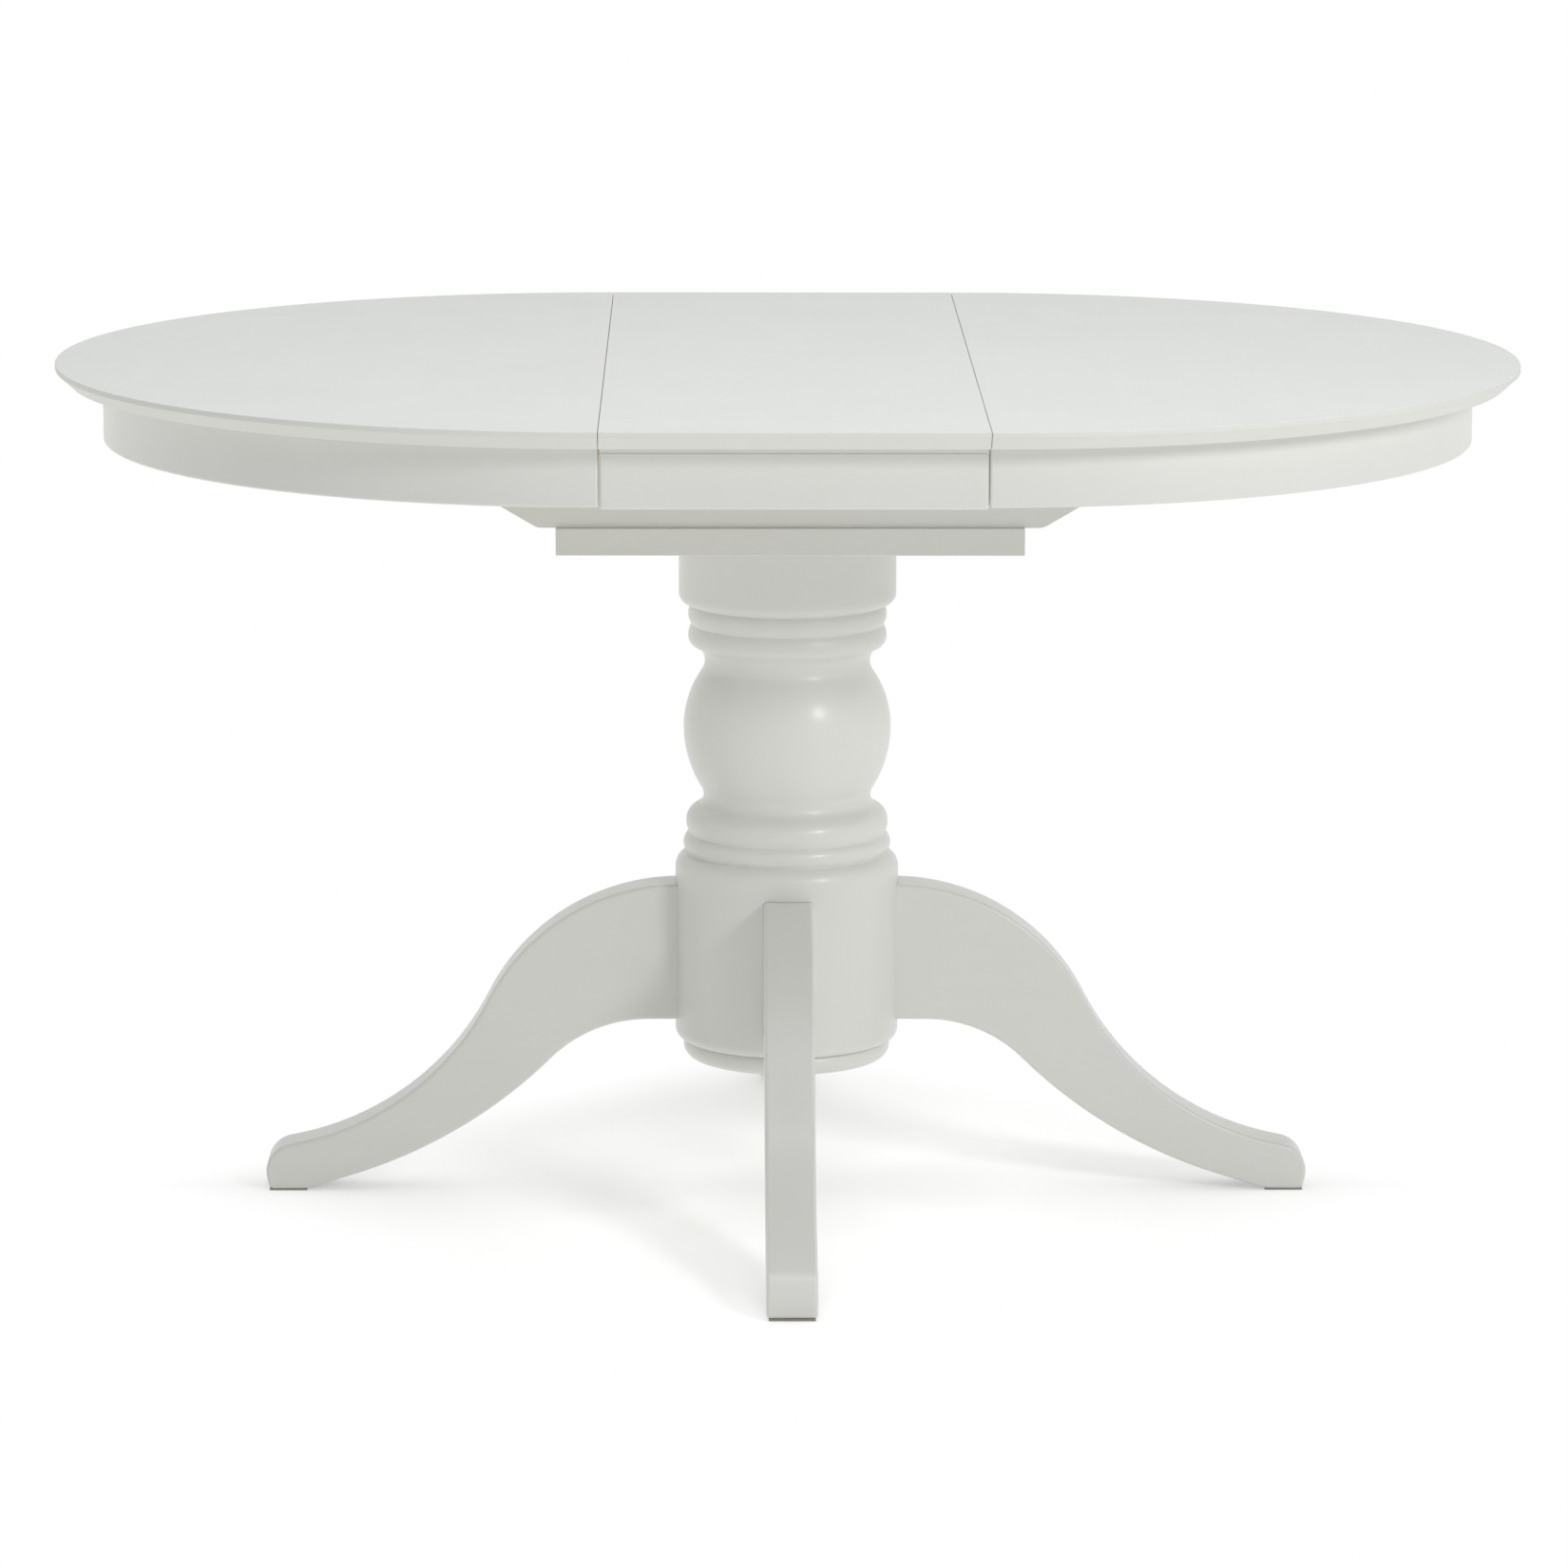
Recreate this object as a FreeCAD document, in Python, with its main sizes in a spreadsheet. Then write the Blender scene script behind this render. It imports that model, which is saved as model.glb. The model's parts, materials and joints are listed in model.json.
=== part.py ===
"""Extending pedestal dining table: two half-round tops, a lift-out leaf, a turned column on four legs.

Frame: +Z up, origin on the floor under the column axis, +X along the way the halves draw apart.
Left is -X, front is -Y.  Lengths in millimetres.
"""
import FreeCAD, Part
import Sketcher
import math
import os
import re
from FreeCAD import Placement, Rotation, Vector

# Driving dimensions: name, value, what it is
SIZES = [
    ("TableHeight", 762.5, "floor to table top"),
    ("TopRadius", 490, "outer radius of each half-round top"),
    ("TopThickness", 16, "thickness of the tops and of the leaf"),
    ("NoseHeight", 4.5, "upright band at the rim of the top"),
    ("BevelInset", 12.5, "how far the bevel under the rim runs in"),
    ("NoseRound", 0.8, "rounding of the upper rim"),
    ("JointEase", 0.6, "rounding of the upper edges at the joints"),
    ("LeafWidth", 325, "leaf, along the draw"),
    ("JointGap", 0.5, "gap between the leaf and each half"),
    ("ApronSetback", 42, "rim of the top to face of the apron"),
    ("ApronHeight", 53.5, "curved apron"),
    ("ApronThickness", 18, "curved and straight aprons"),
    ("ApronRound", 2.5, "rounding of the apron edges"),
    ("LeafApronHeight", 47.2, "straight apron of the leaf"),
    ("LeafApronDrop", 7.8, "underside of the leaf to top of its apron"),
    ("LeafApronEndGap", 0.6, "end of the leaf to end of its apron"),
    ("CleatHeight", 34, "strip that carries the straight apron"),
    ("CleatThickness", 22, "same strip, front to back"),
    ("CleatInset", 12, "end of the leaf to end of the strip"),
    ("LipSetback", 0.6, "face of the straight apron to the lip of that strip over it"),
    ("BlockLength", 50, "glue block behind the curved apron"),
    ("BlockSection", 24, "glue block, height and depth"),
    ("BlockPlay", 0.2, "glue block corners to the curved apron"),
    ("BearerFace", 200, "column axis to outer face of a bearer"),
    ("BearerThickness", 30, "bearer"),
    ("BearerLength", 600, "bearer"),
    ("BearerClear", 1.5, "top of a bearer to the underside of the tops"),
    ("BearerCutRun", 80, "cut-away lower end of a bearer, along it"),
    ("BearerCutRise", 47, "same cut, upward"),
    ("BearerRound", 14, "rounding where that cut meets the lower edge"),
    ("BearerHeight", 106.5, "bearer"),
    ("PlateThickness", 24, "square plate on the column"),
    ("PlateSide", 408, "square plate on the column"),
    ("PlateRound", 1, "rounding of the plate edges"),
    ("RailSpread", 120, "column axis to middle of a cross rail"),
    ("RailThickness", 28, "cross rail between the bearers"),
    ("RunnerHeight", 40, "runner under a half"),
    ("RunnerThickness", 28, "runner under a half"),
    ("RunnerClear", 14.3, "outer corner of a runner to the back of the apron, along the draw"),
    ("RunnerEnd", 17, "solid end of a runner past its groove"),
    ("RunnerPlay", 0.4, "gap between runner and bearer"),
    ("KeyHeight", 10, "tongue between bearer and runner"),
    ("KeyReach", 8, "how far the tongue stands into each of them"),
    ("KeyPlay", 0.3, "gap around the tongue in the runner"),
    ("KeyInner", 10, "column axis to inner end of a tongue"),
    ("KeyOuter", 280, "column axis to outer end of a tongue"),
    ("OverDraw", 20, "how far each half draws past the leaf"),
    ("BattenInset", 17, "outer end of the runners to middle of the batten"),
    ("BattenWidth", 40, "batten between the runners of a half"),
    ("BattenHeight", 22, "same batten"),
    ("BattenPlay", 0.3, "gap between batten and runners"),
    ("GearModule", 3, "tooth size of racks and pinion"),
    ("PinionTeeth", 18, "number of teeth"),
    ("Backlash", 0.4, "play between the teeth"),
    ("GearThickness", 12, "racks and pinion"),
    ("RackBack", 12, "rack behind its teeth"),
    ("PinionLift", 2, "board to underside of the pinion teeth"),
    ("HubRadius", 14, "foot of the pinion"),
    ("HubPlay", 0.3, "gap under the foot and under the axle head"),
    ("AxleRadius", 5, "axle of the pinion"),
    ("AxlePlay", 0.2, "gap around the axle in the pinion"),
    ("AxleHeadRadius", 9, "head of the axle"),
    ("AxleHeadHeight", 4, "head of the axle"),
    ("BoardThickness", 10, "board under the pinion"),
    ("BoardOverhang", 14, "board past the middle of the cross rails"),
    ("BoardWidth", 150, "board, front to back"),
    ("GuideWidth", 12, "strip that holds a rack to the pinion"),
    ("GuideLength", 110, "same strip"),
    ("GuidePlay", 0.3, "gap between rack and strip"),
    ("PegRadius", 4, "pegs in the cut edges"),
    ("PegReach", 12, "peg in the half, and peg proud of it"),
    ("PegPlay", 0.2, "gap around a peg in its slot"),
    ("PegFar", 330, "column axis to the outer pegs, front to back"),
    ("PegNear", 150, "column axis to the inner pegs, front to back"),
    ("CapRadius", 98, "upper cylinder of the column"),
    ("CapRound", 10, "rounding of that edge"),
    ("UpperBeadRadius", 89.5, "pair of beads under the cap"),
    ("UpperQuirkDepth", 3, "groove between those beads"),
    ("NeckRadius", 74.5, "narrow place over the vase"),
    ("VaseRadius", 93.6, "vase"),
    ("WaistRadius", 75.5, "narrow place under the vase"),
    ("LowerBeadRadius", 91.3, "pair of beads over the block"),
    ("LowerQuirkDepth", 2.8, "groove between those beads"),
    ("BlockShoulderStep", 11, "how far the block stands out from the groove over it"),
    ("QuirkFill", 0.7, "rounding in the bottom of the turned grooves"),
    ("BlockOver", 28, "block above the legs"),
    ("BlockRadius", 101, "round block that takes the legs"),
    ("BlockShoulder", 14, "height of the rounded shoulder of the block"),
    ("BlockUnder", 19.8, "block below the legs"),
    ("BlockRound", 10, "rounding of its lower edge"),
    ("BoreRadius", 50, "hollow of the block"),
    ("BoreRoof", 10.5, "top of the hollow to top of the block"),
    ("SpigotHeight", 18, "spigot of the base bead in the hollow"),
    ("SpigotPlay", 0.3, "gap around the spigot"),
    ("BaseRadius", 93.6, "bead that closes the column below"),
    ("BaseQuirkDepth", 2.6, "groove between that bead and the block"),
    ("BaseBeadHeight", 17.5, "same bead"),
    ("BaseRound", 12, "rounding of its lower edge"),
    ("LegThickness", 44, "plank of a leg"),
    ("LegRound", 3.5, "rounding of the long edges of a leg"),
    ("LegHousing", 4, "how deep the flat end of a leg sits in the block"),
    ("LegTop", 285, "upper edge of a leg at the column"),
    ("LegDepth", 125.2, "leg at the column, upper to lower edge"),
    ("LegFlat", 29, "level stretch of the lower edge at the column"),
    ("ToeLength", 26, "toe to end of the upper sweep"),
    ("ToeTopLevel", 44, "end of the upper sweep above the floor"),
    ("ToeReach", 474, "column axis to the toe"),
    ("ToeRound", 26, "rounding over the toe"),
    ("ToeHeelRound", 5, "rounding under the toe"),
    ("FootLength", 82, "toe to end of the lower sweep"),
    ("HeelLevel", 15.5, "end of the lower sweep above the floor"),
    ("HeelRound", 40, "rounding from the lower sweep into the foot"),
    ("PadThickness", 1.6, "pad under a foot"),
    ("PadLength", 34, "pad, along the leg"),
    ("PadWidth", 40, "pad, across the leg"),
    ("PadInset", 20, "toe to middle of a pad"),
    ("LegBoltRadius", 4, "bolt of a leg"),
    ("LegBoltGrip", 52, "bolt inside the leg"),
    ("LegBoltInset", 36, "edges of the leg end to its bolts"),
    ("LegBoltTail", 4, "bolt past its nut"),
    ("WasherThickness", 7, "curved washer"),
    ("WasherSide", 24, "curved washer"),
    ("WasherPlay", 0.1, "gap between washer and hollow"),
    ("NutRadius", 7.5, "nut over its corners"),
    ("NutHeight", 6.5, "nut"),
    ("LegDowelRadius", 5, "dowel of a leg"),
    ("LegDowelReach", 24, "dowel in the leg, and in the column"),
    ("LegDowelInset", 13, "edges of the leg end to its dowels"),
    ("PlateBoltRadius", 4, "bolt of the plate"),
    ("PlateBoltSpread", 45, "column axis to a bolt, each way"),
    ("PlateBoltHeadRadius", 7, "bolt of the plate"),
    ("PlateBoltHeadHeight", 5, "bolt of the plate"),
    ("PlateBoltSocketRadius", 2.9, "hexagon socket of that bolt, to its corners"),
    ("PlateBoltSocketDepth", 3, "hexagon socket of that bolt"),
    ("SleeveRadius", 7, "threaded sleeve in the column"),
    ("SleeveLength", 40, "threaded sleeve in the column"),
    ("ScrewRadius", 2.5, "wood screws"),
    ("ScrewLength", 36, "wood screws, with head"),
    ("ScrewHeadRadius", 4.5, "wood screws"),
    ("ScrewHeadHeight", 3, "wood screws"),
    ("ScrewSocketRadius", 2.3, "hexagon socket of a screw, to its corners"),
    ("ScrewSocketDepth", 2, "hexagon socket of a screw"),
    ("ScrewBite", 6, "screw in the top or in the leaf"),
    ("FrameScrewLength", 56, "screws up through the plate, with head"),
    ("FrameScrewSink", 3, "how deep their heads sit"),
    ("FrameScrewSpread", 150, "column axis to the outer screws of a bearer"),
    ("RailScrewSpread", 80, "column axis to the screws of a cross rail"),
    ("BoardScrewSpread", 64, "column axis to the screws of the board"),
    ("RunnerScrewStart", 40, "cut edge of a half to the first screw of a runner"),
    ("LeafScrewSpread", 100, "middle of the leaf to the screws of its strips"),
    ("ApronScrewSpread", 50, "middle of the leaf to the screws of its aprons"),
    ("BaseScrewRing", 70, "column axis to the screws of the base bead"),
    ("HoleFit", 0.1, "gap around bolts, screws and dowels"),
    ("Overrun", 5, "how far a cut runs past the piece"),
]

# Hand-chosen levels of the turning, as shares of its height between block and plate
CAP_BASE_SHARE = 0.753
UPPER_QUIRK_SHARE = 0.6915
UPPER_BEAD_SHARE = 0.655
NECK_SHARE = 0.582
VASE_SHARE = 0.38
WAIST_SHARE = 0.171
LOWER_BEAD_SHARE = 0.0945
LOWER_QUIRK_SHARE = 0.058

# Hand-chosen shares of the turned curves and of the leg sweeps
BEAD_NECK_SHARE = 0.43
NECK_VASE_SHARE = 0.18
VASE_WAIST_SHARE = 0.87
WAIST_BEAD_SHARE = 0.41
UPPER_SWEEP_SHARE = 1.03
LOWER_SWEEP_SHARE = 2.07
BLOCK_BEAD_SHARE = 1.25

# Depth of a gear tooth below its pitch line, as a share of the module
TOOTH_ROOT_SHARE = 1.25

# Angles in degrees
TOE_TOP_SLOPE = 11.3
TOE_FACE_LEAN = 12
HEEL_SLOPE = 17.6
PRESSURE_ANGLE = 20
BLOCK_END_ANGLE = 75
BASE_SCREW_ANGLES = (45, 165, 285)
LEG_ANGLES = {"leg_right": 0, "leg_back": 90, "leg_left": 180, "leg_front": 270}

# Counts
NUT_SIDES = 6
RUNNER_SCREWS = 3
SOCKET_SIDES = 6

# Lengths closer than this count as equal
SAME = 1e-4

X_WAY = Vector(1, 0, 0)
Y_WAY = Vector(0, 1, 0)
UP = Vector(0, 0, 1)
DOWN = Vector(0, 0, -1)

# Sizes that follow from the driving ones: name, formula, what it is
FOLLOWING = [
    ("PlateTop", "TableHeight - TopThickness - BearerClear - BearerHeight", "floor to top of the plate"),
    ("LegUnder", "LegTop - LegDepth", "lower edge of a leg at the column"),
    ("LegSeat", "BlockRadius - LegHousing", "column axis to the flat end of a leg"),
    ("BlockTop", "LegTop + BlockOver", "groove over the block"),
    ("BlockBase", "LegUnder - BlockUnder", "underside of the block"),
    ("BlockShoulderRadius", "BlockRadius - BlockShoulderStep", "groove over the block"),
    ("BoreTop", "BlockTop - BoreRoof", "top of the hollow"),
    ("BaseUnderside", "BlockBase - BaseBeadHeight", "underside of the bead below the block"),
    ("BaseQuirkRadius", "BaseRadius - BaseQuirkDepth", "groove between that bead and the block"),
    ("TurnedHeight", "PlateTop - PlateThickness - BlockTop", "turning between block and plate"),
    ("CapBase", f"BlockTop + {CAP_BASE_SHARE}*TurnedHeight", "lower edge of the cap"),
    ("UpperQuirkRadius", "UpperBeadRadius - UpperQuirkDepth", "groove between the upper beads"),
    ("UpperQuirkLevel", f"BlockTop + {UPPER_QUIRK_SHARE}*TurnedHeight", "groove between the upper beads"),
    ("UpperBeadLevel", f"BlockTop + {UPPER_BEAD_SHARE}*TurnedHeight", "widest place of the lower one"),
    ("NeckLevel", f"BlockTop + {NECK_SHARE}*TurnedHeight", "narrow place over the vase"),
    ("VaseLevel", f"BlockTop + {VASE_SHARE}*TurnedHeight", "widest place of the vase"),
    ("WaistLevel", f"BlockTop + {WAIST_SHARE}*TurnedHeight", "narrow place under the vase"),
    ("LowerBeadLevel", f"BlockTop + {LOWER_BEAD_SHARE}*TurnedHeight", "widest place of the upper one"),
    ("LowerQuirkRadius", "LowerBeadRadius - LowerQuirkDepth", "groove between the lower beads"),
    ("LowerQuirkLevel", f"BlockTop + {LOWER_QUIRK_SHARE}*TurnedHeight", "groove between the lower beads"),
    ("ToeTopReach", "ToeReach - ToeLength", "column axis to end of the upper sweep"),
    ("HeelReach", "ToeReach - FootLength", "column axis to end of the lower sweep"),
    ("PadReach", "ToeReach - PadInset", "column axis to middle of a pad"),
    ("ApronBack", "TopRadius - ApronSetback - ApronThickness", "inner radius of a curved apron"),
    ("RunnerFar", "BearerFace + RunnerPlay + RunnerThickness", "column axis to the outermost runner face"),
    ("RunnerTail", "sqrt(ApronBack^2 - RunnerFar^2) - RunnerClear", "cut edge of a half to its runner ends"),
    ("BattenReach", "RunnerTail - BattenInset", "cut edge of a half to middle of its batten"),
    ("RunnerScrewPitch", f"(RunnerTail - 2*RunnerScrewStart)/{RUNNER_SCREWS - 1}", "between runner screws"),
]

doc = FreeCAD.newDocument("pedestal_table")
sheet = doc.addObject("Spreadsheet::Sheet", "Sizes")
for row, (alias, size, note) in enumerate(SIZES + FOLLOWING, start=1):
    sheet.set(f"A{row}", alias)
    sheet.set(f"B{row}", f"={size}")
    sheet.set(f"C{row}", note)
    sheet.setAlias(f"B{row}", alias)
doc.recompute()

ALIASES = {alias for alias, size, note in SIZES + FOLLOWING}
pieces = {}

# Places that several pieces share, written in the names of the sheet
UNDER_TOP = "(TableHeight - TopThickness)"
HALF_EDGE = "(LeafWidth/2 + JointGap)"
APRON_FACE = "(TopRadius - ApronSetback)"
PLATE_UNDER = "(PlateTop - PlateThickness)"
BEARER_BACK = "(BearerFace - BearerThickness)"
RUNNER_NOSE = "(LeafWidth/2 + JointGap - KeyInner + OverDraw + RunnerEnd)"
KEY_MIDDLE = "(TableHeight - TopThickness - RunnerHeight/2)"
RACK_TOP = "(TableHeight - TopThickness - BattenHeight)"
RACK_UNDER = "(TableHeight - TopThickness - BattenHeight - GearThickness)"
BOARD_TOP = "(TableHeight - TopThickness - BattenHeight - GearThickness - PinionLift)"
PITCH_RADIUS = "(GearModule*PinionTeeth/2)"
RACK_ROOT = f"(GearModule*PinionTeeth/2 + {TOOTH_ROOT_SHARE}*GearModule)"
RACK_OUTER = f"({RACK_ROOT} + RackBack)"
SCREW_START = "(TableHeight - TopThickness + ScrewBite - ScrewLength)"


def named(formula):
    """The formula with each size name pointing at its cell."""
    return re.sub(r"[A-Z]\w+", lambda word: ("Sizes." if word[0] in ALIASES else "") + word[0], formula)


def number(formula):
    """The value of a formula of sizes."""
    return float(sheet.evalExpression(formula))


def bind(item, **formulas):
    for name, formula in formulas.items():
        item.setExpression(name, named(formula))
    return item


def put(item, x, y, z):
    for axis, formula in zip("xyz", (x, y, z)):
        item.setExpression("Placement.Base." + axis, named(formula))
    return item


def piece(label, item):
    """Registers the finished sub-part under its own name."""
    item.Label = label
    pieces[label] = item
    return item


def box(length, width, height, x, y, z):
    """Block centred on x and y that stands on z."""
    item = doc.addObject("Part::Box", "Block")
    bind(item, Length=length, Width=width, Height=height)
    return put(item, f"({x}) - ({length})/2", f"({y}) - ({width})/2", z)


def rod(radius, length, x, y, z, way=UP):
    item = doc.addObject("Part::Cylinder", "Rod")
    item.Placement = Placement(Vector(), Rotation(UP, way))
    bind(item, Radius=radius, Height=length)
    return put(item, x, y, z)


def cut(base, tools):
    item = doc.addObject("Part::Cut", "Worked")
    item.Base = base
    item.Tool = group(tools) if len(tools) > 1 else tools[0]
    return item


def group(items):
    item = doc.addObject("Part::Compound", "Set")
    item.Links = items
    return item


def socket(radius, depth, x, y, z, way=UP):
    """Hexagon tool for the socket in a head that starts at the given place."""
    start = [f"({place}) - Overrun*{round(step)}" for place, step in zip((x, y, z), way)]
    item = doc.addObject("Part::Prism", "Socket")
    item.Polygon = SOCKET_SIDES
    item.Placement = Placement(Vector(), Rotation(UP, way))
    bind(item, Circumradius=radius, Height=f"{depth} + Overrun")
    return put(item, *start)


def screw(x, y, z, way=UP, length="ScrewLength"):
    """A wood screw whose head starts at the given place."""
    item = doc.addObject("Part::Fuse", "Screw")
    item.Base = rod("ScrewHeadRadius", "ScrewHeadHeight", x, y, z, way)
    item.Tool = rod("ScrewRadius", length, x, y, z, way)
    return cut(item, [socket("ScrewSocketRadius", "ScrewSocketDepth", x, y, z, way)])


def screw_room(x, y, z, way=UP, length="ScrewLength", sink="Overrun"):
    """Tools for the hole of that screw, open behind its head."""
    start = [f"({place}) - ({sink})*{round(step)}" for place, step in zip((x, y, z), way)]
    head = rod("ScrewHeadRadius + HoleFit", f"ScrewHeadHeight + HoleFit + {sink}", *start, way)
    shank = rod("ScrewRadius + HoleFit", f"{length} + HoleFit", x, y, z, way)
    return [head, shank]


def around(angle):
    """Whole-number direction of a leg."""
    return round(math.cos(math.radians(angle))), round(math.sin(math.radians(angle)))


def new_sketch(body, plane):
    sketch = body.newObject("Sketcher::SketchObject", "Outline")
    origin_plane = [item for item in body.Origin.OriginFeatures if item.Role == plane][0]
    sketch.AttachmentSupport = [(origin_plane, "")]
    sketch.MapMode = "FlatFace"
    return sketch


def arc_between(start, end, radius, turn):
    """Arc under a half turn; turn is +1 to the left, -1 to the right."""
    chord = end - start
    rise = math.sqrt(max(radius ** 2 - chord.Length ** 2 / 4, 0))
    side = Vector(-chord.y, chord.x, 0).normalize() * turn
    centre = (start + end) * 0.5 + side * rise
    first, last = (start, end) if turn > 0 else (end, start)
    angles = [math.atan2(p.y - centre.y, p.x - centre.x) for p in (first, last)]
    return Part.ArcOfCircle(Part.Circle(centre, UP, radius), *angles)


def outline(sketch, corners):
    """Closed outline.  A corner is (x, y) for a line to it or (x, y, radius, turn) for an arc to it."""
    places = [Vector(number(corner[0]), number(corner[1]), 0) for corner in corners]
    ends = []
    for index, corner in enumerate(corners):
        start, end = places[index - 1], places[index]
        if len(corner) == 2:
            geo = sketch.addGeometry(Part.LineSegment(start, end), False)
            ends.append((geo, 1, 2))
            continue
        geo = sketch.addGeometry(arc_between(start, end, number(corner[2]), corner[3]), False)
        ends.append((geo, 1, 2) if corner[3] > 0 else (geo, 2, 1))
        hold(sketch, Sketcher.Constraint("Radius", geo, number(corner[2])), corner[2])
    for index, corner in enumerate(corners):
        geo, first, last = ends[index]
        next_geo, next_first, next_last = ends[(index + 1) % len(ends)]
        sketch.addConstraint(Sketcher.Constraint("Coincident", geo, last, next_geo, next_first))
        hold(sketch, Sketcher.Constraint("DistanceX", -1, 1, geo, last, places[index].x), corner[0])
        hold(sketch, Sketcher.Constraint("DistanceY", -1, 1, geo, last, places[index].y), corner[1])


def hold(sketch, constraint, formula):
    index = sketch.addConstraint(constraint)
    sketch.setExpression(f"Constraints[{index}]", named(formula))


def pad(body, plane, corners, depth, symmetric=False):
    sketch = new_sketch(body, plane)
    outline(sketch, corners)
    item = body.newObject("PartDesign::Pad", "Pad")
    item.Profile = sketch
    if symmetric:
        item.Midplane = True
    bind(item, Length=depth)
    doc.recompute()
    return item


def turned(body, corners, angle=360):
    """Body of revolution about the upright axis, centred on +X where it isn't a full turn."""
    sketch = new_sketch(body, "XZ_Plane")
    outline(sketch, corners)
    item = body.newObject("PartDesign::Revolution", "Turned")
    item.Profile = sketch
    item.ReferenceAxis = (sketch, ["V_Axis"])
    item.Angle = angle
    if angle < 360:
        item.Midplane = True
    doc.recompute()
    return item


def rounded(body, base, wanted, radius):
    """Rounds the edges of the base that the test picks."""
    edges = [f"Edge{index}" for index, edge in enumerate(base.Shape.Edges, start=1) if wanted(edge)]
    item = body.newObject("PartDesign::Fillet", "Rounding")
    item.Base = (base, edges)
    bind(item, Radius=radius)
    doc.recompute()
    return item


def new_body():
    return doc.addObject("PartDesign::Body", "Body")


def near(value, formula):
    return abs(value - number(formula)) < SAME


def swing(radius, level, to_radius, to_level, share):
    """Two arcs between places where the turned outline is upright; they meet at a share of the way."""
    reach = f"(({radius} - {to_radius})^2 + ({level} - {to_level})^2)/(2*abs({radius} - {to_radius}))"
    turn = 1 if number(to_radius) > number(radius) else -1
    middle = f"{radius} + ({to_radius} - {radius})*{share}", f"{level} + ({to_level} - {level})*{share}"
    return [(*middle, f"{share}*{reach}", turn), (to_radius, to_level, f"(1 - {share})*{reach}", -turn)]


def bulge(half_height, depth):
    """Radius of a bead from its half height and how far it stands out."""
    return f"(({half_height})^2 + ({depth})^2)/(2*({depth}))"


# Column, turned in one piece and bored from below
def make_column():
    body = new_body()
    bead_half = "(CapBase - UpperQuirkLevel)/2"
    bead_proud = "(UpperBeadRadius - UpperQuirkRadius)"
    block_bead_half = "(LowerQuirkLevel - BlockTop)/2"
    corners = [
        ("0", "BoreTop"),
        ("0", PLATE_UNDER),
        ("CapRadius", PLATE_UNDER),
        ("CapRadius", "CapBase + CapRound"),
        ("CapRadius - CapRound", "CapBase", "CapRound", -1),
        ("UpperQuirkRadius", "CapBase"),
        ("UpperQuirkRadius", "UpperQuirkLevel", bulge(bead_half, bead_proud), -1),
        ("UpperBeadRadius", "UpperBeadLevel", bulge("UpperQuirkLevel - UpperBeadLevel", bead_proud), -1),
        *swing("UpperBeadRadius", "UpperBeadLevel", "NeckRadius", "NeckLevel", BEAD_NECK_SHARE),
        *swing("NeckRadius", "NeckLevel", "VaseRadius", "VaseLevel", NECK_VASE_SHARE),
        *swing("VaseRadius", "VaseLevel", "WaistRadius", "WaistLevel", VASE_WAIST_SHARE),
        *swing("WaistRadius", "WaistLevel", "LowerBeadRadius", "LowerBeadLevel", WAIST_BEAD_SHARE),
        ("LowerQuirkRadius", "LowerQuirkLevel",
         bulge("LowerBeadLevel - LowerQuirkLevel", "LowerBeadRadius - LowerQuirkRadius"), -1),
        ("BlockShoulderRadius", "BlockTop", f"{BLOCK_BEAD_SHARE}*{block_bead_half}", -1),
        ("BlockRadius", "BlockTop - BlockShoulder",
         bulge("BlockShoulder", "BlockRadius - BlockShoulderRadius"), -1),
        ("BlockRadius", "BlockBase + BlockRound"),
        ("BlockRadius - BlockRound", "BlockBase", "BlockRound", -1),
        ("BoreRadius", "BlockBase"),
        ("BoreRadius", "BoreTop"),
    ]
    turning = turned(body, corners)
    grooves = {"CapBase": "UpperQuirkRadius", "UpperQuirkLevel": "UpperQuirkRadius",
               "LowerQuirkLevel": "LowerQuirkRadius", "BlockTop": "BlockShoulderRadius"}
    in_groove = lambda edge: any(near(edge.CenterOfMass.z, level) and near(edge.BoundBox.XMax, radius)
                                 for level, radius in grooves.items())
    rounded(body, turning, in_groove, "QuirkFill")
    tools = []
    for angle in LEG_ANGLES.values():
        tools += leg_seat_room(angle)
        tools += leg_rod_room(angle)
    for x, y in plate_bolt_places():
        tools.append(rod("SleeveRadius + HoleFit", "SleeveLength + HoleFit + Overrun",
                         x, y, PLATE_UNDER + " - SleeveLength - HoleFit"))
    for x, y in base_screw_places():
        tools.append(rod("ScrewRadius + HoleFit", "ScrewLength + HoleFit", x, y, "BaseUnderside"))
    piece("column", cut(body, tools))


def leg_seat_room(angle):
    """Flat housing in the block for the end of a leg, with its edges rounded like those of the leg."""
    body = new_body()
    side, radius = "(LegThickness/2 + HoleFit)", "(LegRound + HoleFit)"
    low, high = "(LegUnder - HoleFit)", "(LegTop + HoleFit)"
    corners = [
        (f"{side} - {radius}", low),
        (side, f"{low} + {radius}", radius, 1),
        (side, f"{high} - {radius}"),
        (f"{side} - {radius}", high, radius, 1),
        (f"{radius} - {side}", high),
        (f"-{side}", f"{high} - {radius}", radius, 1),
        (f"-{side}", f"{low} + {radius}"),
        (f"{radius} - {side}", low, radius, 1),
    ]
    pad(body, "YZ_Plane", corners, "BlockRadius + Overrun - LegSeat")
    x, y = around(angle)
    body.Placement = Placement(Vector(), Rotation(UP, angle))
    return [put(body, f"LegSeat*{x}", f"LegSeat*{y}", "0")]


def leg_levels(inset):
    return [f"LegUnder + {inset}", f"LegTop - {inset}"]


def radial_rods(angle, radius, length, start, inset):
    """Two rods that point outward along a leg."""
    x, y = around(angle)
    way = Vector(x, y, 0)
    place = f"({start})*{x}", f"({start})*{y}"
    return [rod(radius, length, *place, level, way) for level in leg_levels(inset)]


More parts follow.
